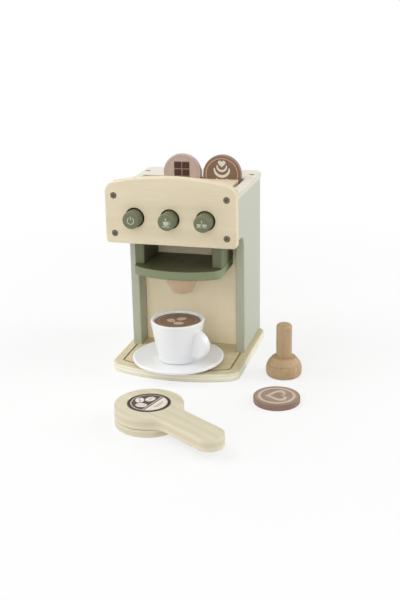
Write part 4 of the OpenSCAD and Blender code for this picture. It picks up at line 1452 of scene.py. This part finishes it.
class COFFEE_OT_spout(bpy.types.Operator):
    """Makes the turned spout"""

    bl_idname = "coffee.spout"
    bl_label = "Spout"

    def execute(self, context):
        make_spout()
        return {"FINISHED"}


class COFFEE_OT_screws(bpy.types.Operator):
    """Makes all the countersunk screws"""

    bl_idname = "coffee.screws"
    bl_label = "Screws"

    def execute(self, context):
        make_screws()
        return {"FINISHED"}


class COFFEE_OT_springs(bpy.types.Operator):
    """Finishes the return springs"""

    bl_idname = "coffee.springs"
    bl_label = "Springs"

    def execute(self, context):
        make_springs()
        return {"FINISHED"}


class COFFEE_OT_buttons(bpy.types.Operator):
    """Makes the three buttons and their signs"""

    bl_idname = "coffee.buttons"
    bl_label = "Buttons"

    def execute(self, context):
        make_buttons()
        return {"FINISHED"}


class COFFEE_OT_rack_discs(bpy.types.Operator):
    """Makes the chocolate and latte discs in the rack"""

    bl_idname = "coffee.rack_discs"
    bl_label = "Rack Discs"

    def execute(self, context):
        make_rack_discs()
        print_chocolate_disc()
        print_latte_disc()
        return {"FINISHED"}


class COFFEE_OT_loose_discs(bpy.types.Operator):
    """Makes the bean, heart and cup discs"""

    bl_idname = "coffee.loose_discs"
    bl_label = "Loose Discs"

    def execute(self, context):
        make_bean_disc()
        make_heart_disc()
        make_cup_disc()
        return {"FINISHED"}


class COFFEE_OT_cup_and_saucer(bpy.types.Operator):
    """Makes the cup, its handle and the saucer"""

    bl_idname = "coffee.cup_and_saucer"
    bl_label = "Cup and Saucer"

    def execute(self, context):
        make_saucer()
        make_cup()
        return {"FINISHED"}


class COFFEE_OT_portafilter(bpy.types.Operator):
    """Makes the portafilter's board and puck"""

    bl_idname = "coffee.portafilter"
    bl_label = "Portafilter"

    def execute(self, context):
        make_portafilter()
        return {"FINISHED"}


class COFFEE_OT_tamper(bpy.types.Operator):
    """Makes the turned tamper"""

    bl_idname = "coffee.tamper"
    bl_label = "Tamper"

    def execute(self, context):
        make_tamper()
        return {"FINISHED"}


class COFFEE_OT_stage(bpy.types.Operator):
    """Makes the floor, the light and the camera"""

    bl_idname = "coffee.stage"
    bl_label = "Stage"

    def execute(self, context):
        make_floor()
        make_world()
        make_lamps()
        make_camera()
        return {"FINISHED"}


OPERATORS = (
    COFFEE_OT_base_board, COFFEE_OT_side_panels, COFFEE_OT_front_board, COFFEE_OT_top_panel,
    COFFEE_OT_inner_boards, COFFEE_OT_holder, COFFEE_OT_spout, COFFEE_OT_screws, COFFEE_OT_springs,
    COFFEE_OT_buttons, COFFEE_OT_rack_discs, COFFEE_OT_loose_discs, COFFEE_OT_cup_and_saucer,
    COFFEE_OT_portafilter, COFFEE_OT_tamper, COFFEE_OT_stage,
)


class COFFEE_PT_panel(bpy.types.Panel):
    """Lists the pieces of the coffee maker, its sizes and its colours"""

    bl_idname = "COFFEE_PT_panel"
    bl_label = "Coffee Maker"
    bl_space_type = "VIEW_3D"
    bl_region_type = "UI"
    bl_category = "Coffee Maker"

    def draw(self, context):
        for operator in OPERATORS:
            self.layout.operator(operator.bl_idname)
        for settings in (context.scene.coffee_sizes, context.scene.coffee_colours):
            column = self.layout.column()
            for key in settings.__annotations__:
                column.prop(settings, key)


CLASSES = (CoffeeMakerSizes, CoffeeMakerColours, *OPERATORS, COFFEE_PT_panel)


def register():
    for cls in CLASSES:
        bpy.utils.register_class(cls)
    bpy.types.Scene.coffee_sizes = PointerProperty(type=CoffeeMakerSizes)
    bpy.types.Scene.coffee_colours = PointerProperty(type=CoffeeMakerColours)


def unregister():
    del bpy.types.Scene.coffee_colours
    del bpy.types.Scene.coffee_sizes
    for cls in reversed(CLASSES):
        bpy.utils.unregister_class(cls)


def main():
    register()
    bpy.ops.coffee.stage()
    bpy.ops.coffee.base_board()
    bpy.ops.coffee.side_panels()
    bpy.ops.coffee.front_board()
    bpy.ops.coffee.top_panel()
    bpy.ops.coffee.inner_boards()
    bpy.ops.coffee.holder()
    bpy.ops.coffee.spout()
    bpy.ops.coffee.screws()
    bpy.ops.coffee.springs()
    bpy.ops.coffee.buttons()
    bpy.ops.coffee.rack_discs()
    bpy.ops.coffee.loose_discs()
    bpy.ops.coffee.cup_and_saucer()
    bpy.ops.coffee.portafilter()
    bpy.ops.coffee.tamper()


if __name__ == "__main__":
    main()
